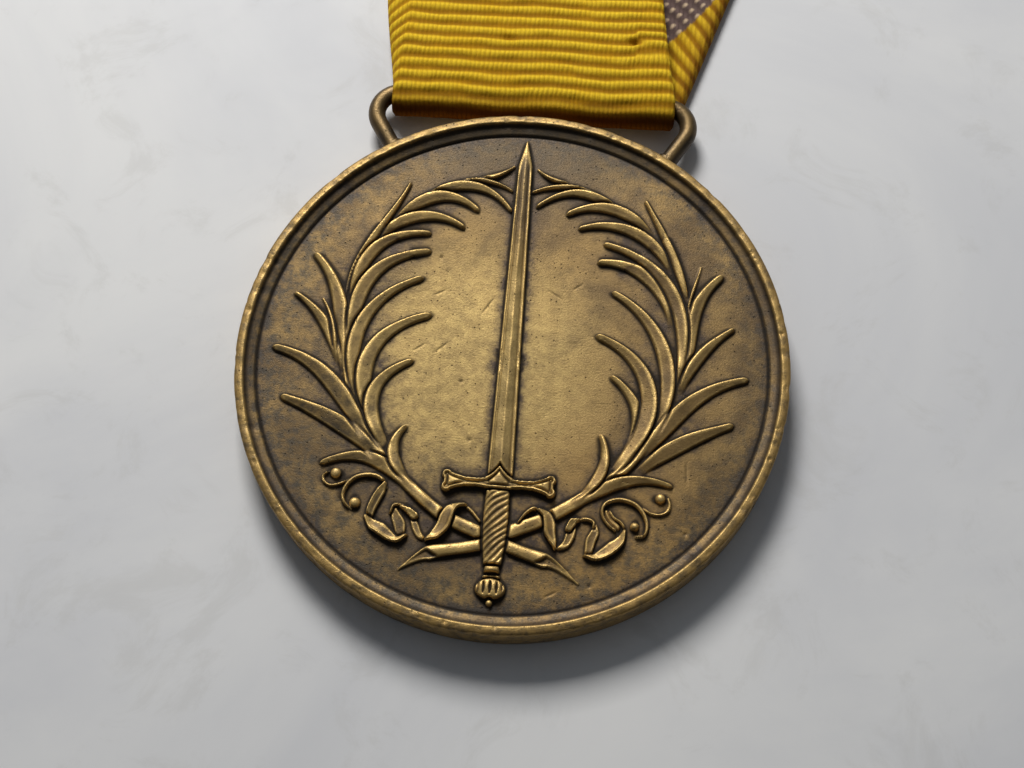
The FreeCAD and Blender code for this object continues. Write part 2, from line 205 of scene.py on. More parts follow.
def near_line(x, y, line, reach):
    """For the points within reach of a line, return their index, signed distance and share along it.

    The distance is positive on the right of the line's direction.
    """
    low = line.min(0) - reach
    high = line.max(0) + reach
    index = np.nonzero((x > low[0]) & (x < high[0]) & (y > low[1]) & (y < high[1]))[0]
    nearest = np.full(len(index), np.inf)
    signed = np.zeros(len(index))
    along = np.zeros(len(index))
    steps = len(line) - 1
    for number in range(steps):
        start = line[number]
        step = line[number + 1] - start
        off_x = x[index] - start[0]
        off_y = y[index] - start[1]
        share = np.clip((off_x * step[0] + off_y * step[1]) / (step @ step), 0, 1)
        gap_x = off_x - share * step[0]
        gap_y = off_y - share * step[1]
        distance = np.hypot(gap_x, gap_y)
        closer = distance < nearest
        side = np.where(step[1] * gap_x - step[0] * gap_y < 0, -1, 1)
        nearest = np.where(closer, distance, nearest)
        signed = np.where(closer, distance * side, signed)
        along = np.where(closer, (number + share) / steps, along)
    return index, signed, along


def lay(height, index, inside, top, slope=0.13, firmness=1.0):
    """Lay a shape over the relief: a crease runs round it, and inside it the shape's own top takes over.

    inside is each point's distance in mm within the shape's border, and is negative outside it. Where
    firmness is below 1 the shape sinks into what lies under it.
    """
    crease = CREASE_DEPTH * (1 - smooth(-inside / CREASE_WIDTH)) * firmness
    cover = smooth(inside / slope) * firmness
    height[index] = height[index] * (1 - crease) * (1 - cover) + top * cover


def lay_line(height, x, y, line, half_width, top, slope=0.13, firmness=None):
    """Lay a shape along a line; half_width, top and firmness are functions of the share along it.

    top also takes the share across, from -1 to 1, which is positive on the right of the line's direction.
    """
    reach = float(np.max(half_width(np.linspace(0, 1, 50)))) + CREASE_WIDTH
    index, distance, along = near_line(x, y, line, reach)
    width = half_width(along)
    inside = width - np.abs(distance)
    hit = inside > -CREASE_WIDTH
    along = along[hit]
    across = np.clip(distance[hit] / np.maximum(width[hit], 1e-6), -1, 1)
    firm = 1.0 if firmness is None else firmness(along)
    lay(height, index[hit], inside[hit], top(along, across), slope, firm)


# ---- the palms


def leaf_line(spine, root, tip, bow, count=28):
    """Return a leaf's centreline: it leaves the spine along it, bows aside and hooks round at its tip."""
    root = np.array(root)
    tip = np.array(tip)
    chord = tip - root
    length = np.hypot(*chord)
    aside = np.array([chord[1], -chord[0]]) / length
    nearest = np.argmin(np.hypot(*(spine[:-1] - root).T))
    along = spine[nearest + 1] - spine[nearest]
    start = along / np.hypot(*along) * math.hypot(length, 4 * bow)
    finish = start - (10.4 if bow > 0 else 8) * bow * aside
    share = np.linspace(0, 1, count)[:, None]
    square = share**2
    cube = share**3
    ends = root * (2 * cube - 3 * square + 1) + tip * (3 * square - 2 * cube)
    return ends + start * (cube - 2 * square + share) + finish * (cube - square)


def lay_leaf(height, x, y, line, width, crest_side):
    """Lay one leaf: broad at its root, blunt and round at its tip, with its crest near its convex border."""
    length = np.hypot(*np.diff(line, axis=0).T).sum()

    def half_width(along):
        half = width / 2 * (0.6 + 0.4 * smooth(along / 0.4) - 0.52 * smooth((along - 0.45) / 0.6))
        short_of_end = np.clip(1 - (1 - along) * length / (1.1 * half), 0, 1)
        return half * np.sqrt(1 - 0.92 * short_of_end**2)

    def top(along, across):
        fall = np.clip((0.5 - across * crest_side) / 1.5, 0, 1)
        border = 0.12 * smooth((across * crest_side - 0.62) / 0.2)
        return LEAF_RELIEF * (1 - 0.48 * fall + border) * (1 - 0.1 * smooth((along - 0.5) / 0.5))

    lay_line(height, x, y, line, half_width, top, firmness=lambda along: smooth(along / 0.25))


def lay_palm(height, x, y, side, spine, leaves):
    """Lay one palm branch; side is 1 for the +X palm and -1 for the other.

    Leaves on the palm's outside lie over the ones below them, and those inside over the ones above.
    """
    mirrored_x = x * side
    line = spline(spine)
    lay_line(
        height, mirrored_x, y, line[: int(len(line) * STEM_SHARE)],
        lambda along: 0.46 - 0.34 * smooth(along),
        lambda along, across: STEM_RELIEF * (1 - 0.5 * smooth(along)) * dome(across, 0.5),
        firmness=lambda along: smooth((1 - along) / 0.15),
    )
    outside = sorted((leaf for leaf in leaves if leaf[1][0] > leaf[0][0]), key=lambda leaf: leaf[0][1])
    inside = sorted((leaf for leaf in leaves if leaf[1][0] <= leaf[0][0]), key=lambda leaf: -leaf[0][1])
    for root, tip, bow, width in outside + inside:
        lay_leaf(height, mirrored_x, y, leaf_line(line, root, tip, bow), width, 1 if bow > 0 else -1)


# The points each cut stem runs through, from behind the grip outward, and the side its cut starts on
CUT_STEMS = [
    ([(0.0, -11.05), (-0.75, -11.3), (-2.35, -11.65), (-3.45, -11.88), (-4.2, -12.2), (-5.3, -13.0)], 1),
    ([(0.0, -11.0), (0.75, -11.25), (1.65, -11.55), (2.7, -11.85), (3.5, -12.12), (4.95, -13.15)], -1),
]


def cut_stem_half_width(along):
    """Return a cut stem's half width: it swells a little, then narrows to a point."""
    return 0.4 + 0.05 * smooth((along - 0.4) / 0.25) - 0.38 * np.clip((along - 0.66) / 0.34, 0, 1)


def cut_stem_top(along, across, side):
    """Return a round stem, then its cut face: hollow between a lifted border at each side."""
    cut = smooth((along - 0.6 - 0.1 * across * side) / 0.05)
    border = smooth((np.abs(across + 0.15 * side) - 0.45) / 0.35)
    face = 0.14 + 0.2 * border * (1.4 - 0.9 * along)
    return STEM_RELIEF * dome(across) * (1 - cut) + face * cut


def lay_cut_stems(height, x, y):
    """Lay the ends of the two stems, which cross behind the grip and are cut slantwise to a point."""
    for points, side in CUT_STEMS:
        top = partial(cut_stem_top, side=side)
        lay_line(height, x, y, spline(points), cut_stem_half_width, top, slope=0.1)


# ---- the sword, in mm

BLADE_MIDDLE = 0.04
BLADE_ROOT = -7.0
BLADE_SHOULDER = 13.1
BLADE_TIP = 15.1
GUARD_Y = -7.62
GUARD_REACH = 3.22
BLOCK_HALF = 0.84
GRIP_FOOT = -12.5
CORD_PITCH_ON_GRIP = 0.42
COLLAR_RINGS = [(-12.68, 0.52, 0.24), (-13.12, 0.56, 0.14)]
POMMEL_Y = -13.82
POMMEL_HALF_WIDTH = 0.92
POMMEL_HALF_HEIGHT = 0.66
FLUTE_PITCH = 0.42
FINIAL = (0.0, -14.6)
FINIAL_STEM = [(0.0, -14.7), (0.0, -15.0)]


def lay_blade(height, x, y):
    """Lay the blade: a ridge down the middle, a facet on each side of it, and a flat border at each edge."""
    index = within(x, y, 1.0, BLADE_ROOT - 0.4, BLADE_TIP + 0.2)
    up = y[index]
    half = np.interp(up, [BLADE_ROOT, BLADE_SHOULDER, BLADE_TIP], [0.76, 0.46, 0.0])
    reach = np.abs(x[index] - BLADE_MIDDLE)
    inside = np.where(up > BLADE_TIP, BLADE_TIP - up - reach, half - reach)
    facet = 1 - 0.52 * reach / 0.7
    bordered = smooth((13.4 - up) / 1.5)
    groove = 0.14 * hump(inside - 0.2, 0.05) * bordered
    border = 0.1 * smooth((0.17 - inside) / 0.05) * bordered
    lower_point = 1 - 0.3 * smooth((up - 12.6) / 2.3)
    lay(height, index, inside, SWORD_RELIEF * (facet - groove + border) * lower_point, slope=0.07)


def guard_inside(x, y):
    """Return the distance within the guard: a peaked block, thin arms and flared ends with round lobes."""
    reach = np.abs(x)
    rise = y - GUARD_Y
    arm_half = np.interp(reach, [0.8, 1.3, 2.0, 2.5, 2.9, 3.3], [0.32, 0.27, 0.3, 0.44, 0.6, 0.62])
    arm = np.minimum(arm_half - np.abs(rise), GUARD_REACH - reach)
    lobe = 0.33 - np.hypot(reach - 3.0, np.abs(rise) - 0.36)
    shoulder = 0.42 + 0.72 * np.clip(1 - reach / BLOCK_HALF, 0, 1) ** 1.7
    block = np.minimum(np.minimum(BLOCK_HALF - reach, rise + 0.36), (shoulder - rise) * 0.7)
    return np.maximum(np.maximum(arm, lobe), block)


def lay_guard(height, x, y):
    """Lay the cross guard, with a raised border all round and a sunk line inside it."""
    index = within(x, y, GUARD_REACH + 0.58, GUARD_Y - 0.98, GUARD_Y + 1.42)
    inside = guard_inside(x[index], y[index])
    sunk = hump(inside - 0.24, 0.06) + 0.2 * smooth((inside - 0.24) / 0.05)
    lay(height, index, inside, HILT_RELIEF * (1 - 0.42 * sunk), slope=0.1)


def lay_grip(height, x, y):
    """Lay the grip, wound with a slanting cord, and the two rings of its collar."""
    index = within(x, y, 1.0, GRIP_FOOT - 0.1, -7.9)
    side = x[index]
    up = y[index]
    half = np.interp(up, [-12.4, -11.2, -9.7, -8.0], [0.56, 0.72, 0.79, 0.73])
    inside = np.minimum(half - np.abs(side), up - GRIP_FOOT)
    across = np.clip(side / half, -1, 1)
    turns = (up - 0.75 * side - 0.12 * across**3) / CORD_PITCH_ON_GRIP + 0.25 * ripple(side, up, 2.2, SEED)
    cord = np.abs(np.cos(np.pi * turns)) ** 0.6
    lay(height, index, inside, HILT_RELIEF * dome(across) - 0.13 * (1 - cord), slope=0.12)
    for ring_y, ring_half, tall in COLLAR_RINGS:
        index = within(x, y, 0.8, ring_y - 0.5, ring_y + 0.5)
        rise = y[index] - ring_y
        flare = ring_half - 0.16 * (rise + tall)
        inside = np.minimum(flare - np.abs(x[index]), tall - np.abs(rise))
        lay(height, index, inside, HILT_RELIEF * dome(x[index] / ring_half), slope=0.14)


def lay_pommel(height, x, y):
    """Lay the fluted pommel, and the stem and small ball below it."""
    index = within(x, y, 1.1, POMMEL_Y - 0.88, POMMEL_Y + 0.92)
    off_x = x[index] / POMMEL_HALF_WIDTH
    off_y = (y[index] - POMMEL_Y) / POMMEL_HALF_HEIGHT
    radius = np.hypot(off_x, off_y)
    turn = np.arcsin(np.clip(off_x, -1, 1))
    flute = (np.sin(np.pi * turn / FLUTE_PITCH) / 0.7) ** 2
    slot = smooth((1 - flute - ((off_y - 0.12) / 0.66) ** 2) / 0.6)
    top = HILT_RELIEF * (0.45 + 0.6 * dome(radius, 0.85)) - 0.2 * slot
    lay(height, index, (1 - radius) * 0.65, top, slope=0.12)
    lay_line(
        height, x, y, np.array(FINIAL_STEM),
        lambda along: 0.09 - 0.04 * along, lambda along, across: 0.09 + 0 * along, slope=0.08,
    )
    lay_drop(height, x, y, FINIAL, 0.24, 0.32)


# ---- the carved ribbon that ties the palms


def lay_drop(height, x, y, centre, radius, relief):
    """Lay a round drop."""
    distance = np.hypot(x - centre[0], y - centre[1])
    index = np.nonzero(distance < radius + CREASE_WIDTH)[0]
    away = distance[index]
    lay(height, index, radius - away, relief * dome(away / radius, 0.8), slope=0.1)


def lay_band(height, x, y, points, half_widths, relief, tilt):
    """Lay a band of carved ribbon: hollow between two thin lifted borders, and tilted where it turns."""
    shares = np.linspace(0, 1, len(half_widths))

    def half_width(along):
        return np.interp(along, shares, half_widths)

    def top(along, across):
        hollow = 0.2 * smooth((half_width(along) - 0.14) / 0.14) * (1 - smooth((np.abs(across) - 0.3) / 0.6))
        return relief * (1 - hollow) * (1 + tilt * across)

    lay_line(height, x, y, spline(points), half_width, top, slope=0.08)


THIN = [0.08, 0.1, 0.1, 0.09]

# Each band: the points it runs through, its half widths along them, its relief and its tilt
LEFT_TIE = [
    ([(-5.4, -11.0), (-5.5, -10.4), (-5.7, -10.0), (-5.85, -9.6)], [0.3, 0.38, 0.34, 0.2], 0.2, 0.0),
    ([(-4.75, -10.0), (-4.55, -10.5), (-4.3, -10.95), (-3.9, -11.2)], [0.2, 0.25, 0.22, 0.1], 0.2, 0.0),
    ([(-9.85, -7.5), (-10.2, -7.75), (-10.15, -8.1), (-9.75, -8.35), (-9.15, -8.2), (-8.5, -7.8)],
     THIN, 0.24, 0.0),
    ([(-8.35, -9.65), (-8.75, -9.4), (-8.95, -8.9), (-8.8, -8.3), (-8.35, -7.8), (-7.75, -7.6), (-7.15, -7.6),
      (-6.7, -7.85), (-6.5, -8.25)], [0.08, 0.11, 0.13, 0.14, 0.14, 0.14], 0.32, 0.0),
    ([(-6.57, -8.05), (-6.75, -8.5), (-7.0, -9.05), (-7.2, -9.6), (-7.3, -10.15)],
     [0.14, 0.28, 0.3, 0.28, 0.24], 0.34, 0.35),
    ([(-7.5, -10.05), (-7.05, -10.5), (-6.55, -10.75), (-6.05, -11.1), (-5.55, -11.3), (-5.05, -11.0)],
     [0.12, 0.34, 0.4, 0.34, 0.2, 0.1], 0.38, 0.35),
    ([(-6.1, -9.75), (-5.95, -9.32), (-5.6, -9.24), (-5.2, -9.4), (-4.8, -9.6)],
     [0.09, 0.11, 0.12, 0.12], 0.32, 0.0),
    ([(-5.5, -9.36), (-5.1, -9.55), (-4.7, -9.85)], [0.1, 0.2, 0.26], 0.4, -0.2),
    ([(-1.9, -8.98), (-1.45, -9.3), (-0.9, -9.9)], [0.1, 0.11, 0.1], 0.24, 0.0),
    ([(-3.9, -11.2), (-3.4, -10.85), (-3.0, -10.3), (-2.85, -9.8), (-2.65, -9.35), (-2.25, -9.05),
      (-1.8, -8.98)], [0.1, 0.32, 0.42, 0.42, 0.34, 0.16, 0.1], 0.48, 0.3),
]
RIGHT_TIE = [
    ([(6.3, -8.9), (6.55, -9.35), (6.95, -9.7)], [0.2, 0.26, 0.2], 0.2, 0.0),
    ([(5.4, -11.3), (5.5, -10.6), (5.7, -10.1), (5.7, -9.7)], [0.25, 0.32, 0.28, 0.14], 0.22, 0.0),
    ([(4.4, -9.8), (4.3, -10.4), (4.05, -10.95), (3.5, -11.25)], [0.26, 0.3, 0.24, 0.08], 0.24, 0.0),
    ([(9.8, -7.8), (9.9, -8.2), (9.75, -8.6), (9.35, -8.8), (8.85, -8.75), (8.4, -8.5)], THIN, 0.24, 0.0),
    ([(6.5, -8.8), (6.75, -9.15), (7.15, -9.4), (7.35, -9.7), (7.35, -10.1)], THIN, 0.28, 0.0),
    ([(8.05, -10.2), (8.5, -10.1), (8.65, -9.7), (8.6, -9.2), (8.35, -8.7), (7.95, -8.3), (7.45, -8.1),
      (6.95, -8.05), (6.45, -8.2), (6.15, -8.45), (6.05, -8.8), (6.15, -9.2), (6.45, -9.6), (6.85, -9.9)],
     [0.08, 0.12, 0.14, 0.14, 0.12, 0.1, 0.08], 0.32, 0.0),
    ([(7.38, -9.9), (7.15, -10.5), (6.75, -10.9), (6.25, -11.3), (5.75, -11.55), (5.15, -11.5)],
     [0.12, 0.3, 0.38, 0.34, 0.22, 0.08], 0.38, -0.35),
    ([(5.6, -9.8), (5.6, -9.52), (5.35, -9.38), (5.05, -9.36), (4.6, -9.48)],
     [0.09, 0.11, 0.12, 0.12], 0.32, 0.0),
    ([(4.75, -9.45), (4.42, -9.62), (4.2, -10.0)], [0.12, 0.26, 0.22], 0.4, 0.2),
    ([(1.3, -9.8), (1.7, -9.25), (2.1, -8.95), (2.55, -9.0)], [0.08, 0.11, 0.12, 0.12], 0.36, 0.0),
    ([(3.5, -11.25), (3.35, -10.8), (3.15, -10.3), (3.1, -9.8), (2.9, -9.3), (2.45, -9.0)],
     [0.08, 0.24, 0.36, 0.36, 0.28, 0.12], 0.48, -0.3),
]
TIE_DROPS = [((-9.5, -7.6), 0.36), ((-8.2, -9.3), 0.36), ((9.35, -7.85), 0.33), ((7.95, -9.6), 0.29)]


def lay_tie(height, x, y):
    """Lay the whole carved ribbon."""
    for points, half_widths, relief, tilt in LEFT_TIE + RIGHT_TIE:
        lay_band(height, x, y, points, half_widths, relief, tilt)
    for centre, radius in TIE_DROPS:
        lay_drop(height, x, y, centre, radius, TIE_RELIEF)


# ---- the face of the disc


def ripple(x, y, wavelength, seed, count=9):
    """Return a smooth random surface between about -1 and 1, the same on every run."""
    rng = np.random.default_rng(seed)
    total = np.zeros_like(x)
    for _ in range(count):
        turn = rng.uniform(0, 2 * np.pi)
        pitch = wavelength * rng.uniform(0.7, 1.6)
        wave = (x * math.cos(turn) + y * math.sin(turn)) / pitch
        total += np.sin(2 * np.pi * wave + rng.uniform(0, 2 * np.pi))
    return total / math.sqrt(count)


def rim_height(radius):
    """Return the worn rim, the sloping step and the field as a height for each distance from the centre."""
    step = STEP_RISE * smooth((radius - STEP_INSIDE) / 0.1)
    slope = STEP_SLOPE * np.clip((radius - STEP_INSIDE) / (RIM_INSIDE - STEP_INSIDE), 0, 1)
    rim = RIM_RISE * smooth((radius - RIM_INSIDE) / 0.15)
    worn = 0.035 * np.clip((radius - RIM_INSIDE - 0.14) / 0.4, 0, 1) ** 1.5
    line = 0.04 * hump(radius - STEP_INSIDE + 0.02, 0.06)
    return FIELD_TOP + step + slope + rim - worn - line


def rim_knocks(x, y):
    """Return how deep the rim's knocks and dents are at each point."""
    rng = np.random.default_rng(SEED)
    depth = np.zeros_like(x)
    for _ in range(RIM_KNOCKS):
        turn = rng.uniform(0, 2 * np.pi)
        out = DISC_RADIUS - rng.uniform(0.0, 0.6)
        size = rng.uniform(0.08, 0.3) * rng.uniform(0.7, 1.6)
        deep = rng.uniform(0.015, 0.08)
        away = np.hypot(x - out * math.cos(turn), y - out * math.sin(turn))
        depth = np.maximum(depth, deep * hump(away, size))
    return depth


SCRATCHES = [
    ((-4.8, 0.2), (-3.8, 1.1)),
    ((-6.0, 0.3), (-5.2, 0.9)),
    ((-2.1, 2.9), (-1.3, 4.2)),
    ((-5.1, 4.0), (-4.2, 4.5)),
    ((3.3, 4.9), (4.0, 5.4)),
    ((1.7, 4.9), (2.9, 4.2)),
    ((2.8, -14.1), (3.7, -13.6)),
    ((10.6, -5.4), (10.7, -7.1)),
]
PITS = [(-4.8, 6.6), (5.4, -13.2), (-2.1, -5.0), (-2.9, -1.4), (10.7, -9.8)]


def field_marks(x, y):
    """Return the depth of the field's longer scratches and deeper pits."""
    depth = np.zeros_like(x)
    for start, end in SCRATCHES:
        index, distance, along = near_line(x, y, np.array([start, end]), 0.2)
        cut = 0.035 * hump(distance, 0.05) * np.sin(np.pi * along)
        depth[index] = np.maximum(depth[index], cut)
    for pit_x, pit_y in PITS:
        depth = np.maximum(depth, 0.05 * hump(np.hypot(x - pit_x, y - pit_y), 0.1))
    return depth


def relief_height(x, y):
    """Return the height of the struck design above the field."""
    height = np.zeros_like(x)
    lay_palm(height, x, y, -1, LEFT_SPINE, LEFT_LEAVES)
    lay_palm(height, x, y, 1, RIGHT_SPINE, RIGHT_LEAVES)
    lay_cut_stems(height, x, y)
    lay_tie(height, x, y)
    lay_blade(height, x, y)
    lay_grip(height, x, y)
    lay_guard(height, x, y)
    lay_pommel(height, x, y)
    return height


def face_height(x, y):
    """Return the height of the whole face above the disc's back, worn and knocked."""
    radius = np.hypot(x, y)
    knocks = rim_knocks(x, y) * smooth((radius - STEP_INSIDE) / 0.3)
    uneven = 0.012 * ripple(x, y, 6.0, SEED + 1) + 0.002 * ripple(x, y, 1.3, SEED + 2)
    worn = relief_height(x - STRIKE_SHIFT, y) * (1 + 0.05 * ripple(x, y, 1.4, SEED + 3))
    marks = field_marks(x, y) * (radius < STEP_INSIDE)
    return np.minimum(rim_height(radius) + worn - knocks + uneven - marks, THICKNESS)


# ---- meshes


def new_mesh(name, vertices, faces):
    """Make a smooth-shaded object from vertices in mm and a list of faces."""
    mesh = bpy.data.meshes.new(name)
    mesh.from_pydata((np.asarray(vertices) * MM).tolist(), [], faces)
    mesh.validate()
    mesh.shade_smooth()
    made = bpy.data.objects.new(name, mesh)
    bpy.context.scene.collection.objects.link(made)
    return made


def set_attribute(piece, name, values):
    """Store one number for each vertex, for the materials to read."""
    attribute = piece.data.attributes.new(name, "FLOAT", "POINT")
    attribute.data.foreach_set("value", np.asarray(values, np.float32))


def grid_faces(rows, columns):
    """Return the quads of a grid whose points are numbered row by row."""
    corner = (np.arange(rows - 1)[:, None] * columns + np.arange(columns - 1)).ravel()
    return np.stack([corner, corner + 1, corner + columns + 1, corner + columns], 1)


def tube_faces(rings, count):
    """Return the faces of a closed tube whose points are numbered ring by ring."""
    index = np.arange(rings * count).reshape(rings, count)
    after = np.roll(index, -1, 1)
    quads = np.stack([index[:-1], after[:-1], after[1:], index[1:]], 2).reshape(-1, 4).tolist()
    return [*quads, index[0, ::-1].tolist(), index[-1].tolist()]


def disc_lattice(cells, radius):
    """Return the x and y of a square lattice of points bent onto a disc, with evenly spaced rings."""
    side = np.linspace(-1, 1, cells + 1)
    across, up = np.meshgrid(side, side)
    ring = np.maximum(np.abs(across), np.abs(up))
    safe = np.where(ring == 0, 1, ring)
    eighth = np.pi / 4
    toward_x = np.where(across < 0, np.pi - eighth * up / safe, eighth * up / safe)
    toward_y = np.sign(up) * (2 * eighth - eighth * across / safe)
    turn = np.where(np.abs(across) >= np.abs(up), toward_x, toward_y)
    return radius * ring * np.cos(turn), radius * ring * np.sin(turn)


def drop_unused(points, faces):
    """Return the points that some face uses, the faces renumbered, and the index of the points kept."""
    used = np.unique(np.concatenate(faces))
    renumber = np.zeros(len(points), int)
    renumber[used] = np.arange(len(used))
    return points[used], [renumber[face].tolist() for face in faces], used


# ---- a mesh that is fine only where it must be


def flatness_error(height, cell):
    """Return, for each cell of the lattice, how far its heights stray from a flat patch of that size."""
    coarse = height[::cell, ::cell]
    share = np.arange(cell) / cell
    rows = coarse[:-1, None] * (1 - share)[None, :, None] + coarse[1:, None] * share[None, :, None]
    rows = rows.reshape(-1, coarse.shape[1])
    flat = rows[:, :-1, None] * (1 - share) + rows[:, 1:, None] * share
    error = np.abs(height[:-1, :-1] - flat.reshape(rows.shape[0], -1))
    size = error.shape[0] // cell
    return error.reshape(size, cell, size, cell).max((1, 3))


def split_marks(height, tolerance):
    """Return which cells of 4 and of 2 lattice steps must be split, with sizes that halve step by step."""
    split_large = flatness_error(height, 4) > tolerance
    split_large[[0, -1]] = True
    split_large[:, [0, -1]] = True
    split_small = (flatness_error(height, 2) > tolerance) & np.kron(split_large, np.ones((2, 2), bool))
    split_small[[0, -1]] = False
    split_small[:, [0, -1]] = False
    padded = np.pad(split_small, 1)
    beside = padded[:-2, 1:-1] | padded[2:, 1:-1] | padded[1:-1, :-2] | padded[1:-1, 2:]
    size = len(split_large)
    split_large |= beside.reshape(size, 2, size, 2).any((1, 3))
    return split_large, split_small


def cell_faces(cells, row, column, step, finer):
    """Return the faces of equal cells; finer says for each which of its four sides meet a finer cell.

    A cell beside finer ones is a fan round its centre, so that no point is left on the middle of an edge.
    """
    half = step // 2
    corners = [(0, 0), (0, step), (step, step), (step, 0)]
    middles = [(0, half), (half, step), (step, half), (half, 0)]
    faces = []

    def number(place, chosen):
        return (row[chosen] + place[0]) * (cells + 1) + column[chosen] + place[1]

    kinds = finer @ np.array([1, 2, 4, 8])
    for kind in np.unique(kinds):
        chosen = kinds == kind
        ring = []
        for side in range(4):
            ring.append(corners[side])
            if kind >> side & 1:
                ring.append(middles[side])
        if kind == 0:
            faces += np.stack([number(place, chosen) for place in ring], 1).tolist()
            continue
        for place, following in zip(ring, ring[1:] + ring[:1]):
            fan = [number((half, half), chosen), number(place, chosen), number(following, chosen)]
            faces += np.stack(fan, 1).tolist()
    return faces


def finer_sides(split, row, column):
    """Return for each cell whether its neighbours below, right, above and left are split."""
    padded = np.pad(split, 1)
    sides = [
        padded[row, column + 1],
        padded[row + 1, column + 2],
        padded[row + 2, column + 1],
        padded[row + 1, column],
    ]
    return np.stack(sides, 1)


def adaptive_faces(height, tolerance):
    """Return the faces of a lattice of heights: large cells where it is flat, small where it isn't."""
    cells = height.shape[0] - 1
    split_large, split_small = split_marks(height, tolerance)
    in_halves = np.ones((2, 2), bool)
    exists = np.ones_like(split_large)
    faces = []
    for step, split in ((4, split_large), (2, split_small), (1, np.zeros((cells, cells), bool))):
        row, column = np.nonzero(exists & ~split)
        faces += cell_faces(cells, row * step, column * step, step, finer_sides(split, row, column))
        exists = np.kron(split, in_halves)
    return faces


# ---- the disc


def fix_to_medal(piece, node):
    """Let a piece stand for a CAD node of the medal's own body."""
    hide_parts(node)
    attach(piece, "medal")
    return piece


def blurred(height, spread):
    """Return the heights averaged over a bell-shaped neighbourhood, spread lattice steps wide."""
    reach = 3 * spread
    weights = hump(np.arange(-reach, reach + 1), spread * 1.4)
    weights /= weights.sum()
    for axis in (0, 1):
        padded = np.pad(height, [(reach, reach) if axis == n else (0, 0) for n in (0, 1)], mode="edge")
        count = height.shape[axis]
        height = sum(
            weight * padded.take(range(start, start + count), axis) for start, weight in enumerate(weights)
        )
    return height


def border_loop(cells):
    """Return every second point of a lattice's border, in order round it, counterclockwise."""
    columns = cells + 1
    side = np.arange(0, cells, 2)
    bottom = side
    right = side * columns + cells
    top = cells * columns + cells - side
    left = (cells - side) * columns
    return np.concatenate([bottom, right, top, left])


def edge_and_back_rings():
    """Return (radius, height) of each ring from the face's border round the edge to the back's roundel."""
    rings = []
    for turn in (38, 62, 90):
        angle = math.radians(turn)
        out = DISC_RADIUS - EDGE_ROUND * (1 - math.sin(angle))
        rings.append((out, THICKNESS - EDGE_ROUND * (1 - math.cos(angle)) - EDGE_WEAR))
    rings.append((DISC_RADIUS, THICKNESS / 2))
    for turn in (0, 30, 60, 90):
        angle = math.radians(turn)
        out = DISC_RADIUS - EDGE_ROUND * (1 - math.cos(angle))
        rings.append((out, EDGE_ROUND * (1 - math.sin(angle))))
    rings += [
        (RIM_INSIDE + 0.05, 0.0),
        (RIM_INSIDE, 0.0),
        (RIM_INSIDE - 0.15, BACK_DEPTH),
        (RIM_INSIDE - 0.2, BACK_DEPTH),
        (BEAD_RADIUS + BEAD_HALF, BACK_DEPTH),
        (BEAD_RADIUS, BACK_DEPTH - BEAD_HEIGHT),
        (BEAD_RADIUS - BEAD_HALF, BACK_DEPTH),
        (BEAD_RADIUS - BEAD_HALF - 0.05, BACK_DEPTH),
        (BACK_ROUNDEL + 0.35, BACK_DEPTH),
        (BACK_ROUNDEL + 0.3, BACK_DEPTH),
        (BACK_ROUNDEL + 0.05, 0.03),
        (BACK_ROUNDEL - 0.1, 0.0),
        (BACK_ROUNDEL - 0.15, 0.0),
    ]
    return rings


def strike_face():
    """Return the face's points and faces, and how sunk each point is among its near and far neighbours."""
    x, y = disc_lattice(LATTICE_CELLS, DISC_RADIUS - EDGE_ROUND)
    z = face_height(x.ravel(), y.ravel()).reshape(x.shape)
    sunk = {
        "recess": (blurred(z, 3) - z).ravel() / 0.1,
        "hollow": (blurred(z, 11) - z).ravel() / 0.15,
    }
    return np.stack([x.ravel(), y.ravel(), z.ravel()], 1), adaptive_faces(z, FLATNESS), sunk


def close_back(points, faces):
    """Add the disc's edge and back to its face, ring by ring, and close the middle of the back."""
    previous = border_loop(LATTICE_CELLS)
    turn = np.arctan2(points[previous, 1], points[previous, 0])
    beads = BEAD_HEIGHT * (0.5 - 0.5 * np.cos(BEADS * turn))
    rings = [points]
    count = len(points)
    for radius, height in edge_and_back_rings():
        dents = rim_knocks(radius * np.cos(turn), radius * np.sin(turn)) * (height > EDGE_ROUND)
        level = height + beads * (radius == BEAD_RADIUS)
        out = radius - dents
        rings.append(np.stack([out * np.cos(turn), out * np.sin(turn), level], 1))
        current = count + np.arange(len(turn))
        faces += np.stack([previous, current, np.roll(current, -1), np.roll(previous, -1)], 1).tolist()
        previous = current
        count += len(turn)
    faces.append(previous[::-1].tolist())
    return np.vstack(rings), faces


def build_disc():
    """Strike the disc: a fine relief face, a rounded edge and a plain back, as one closed mesh."""
    face_points, faces, sunk = strike_face()
    points, faces, used = drop_unused(*close_back(face_points, faces))
    disc = new_mesh("struck_disc", points, faces)
    on_face = used[used < len(face_points)]
    for name, values in sunk.items():
        set_attribute(disc, name, np.pad(values[on_face], (0, len(used) - len(on_face))))
    return fix_to_medal(disc, "medal_disc")


# ---- the braze at the bail's feet

BRAZE_FLARE = 0.32
BRAZE_LENGTH = 0.75
WIRE_LEAN = (0.42, 0.91, 0.0)


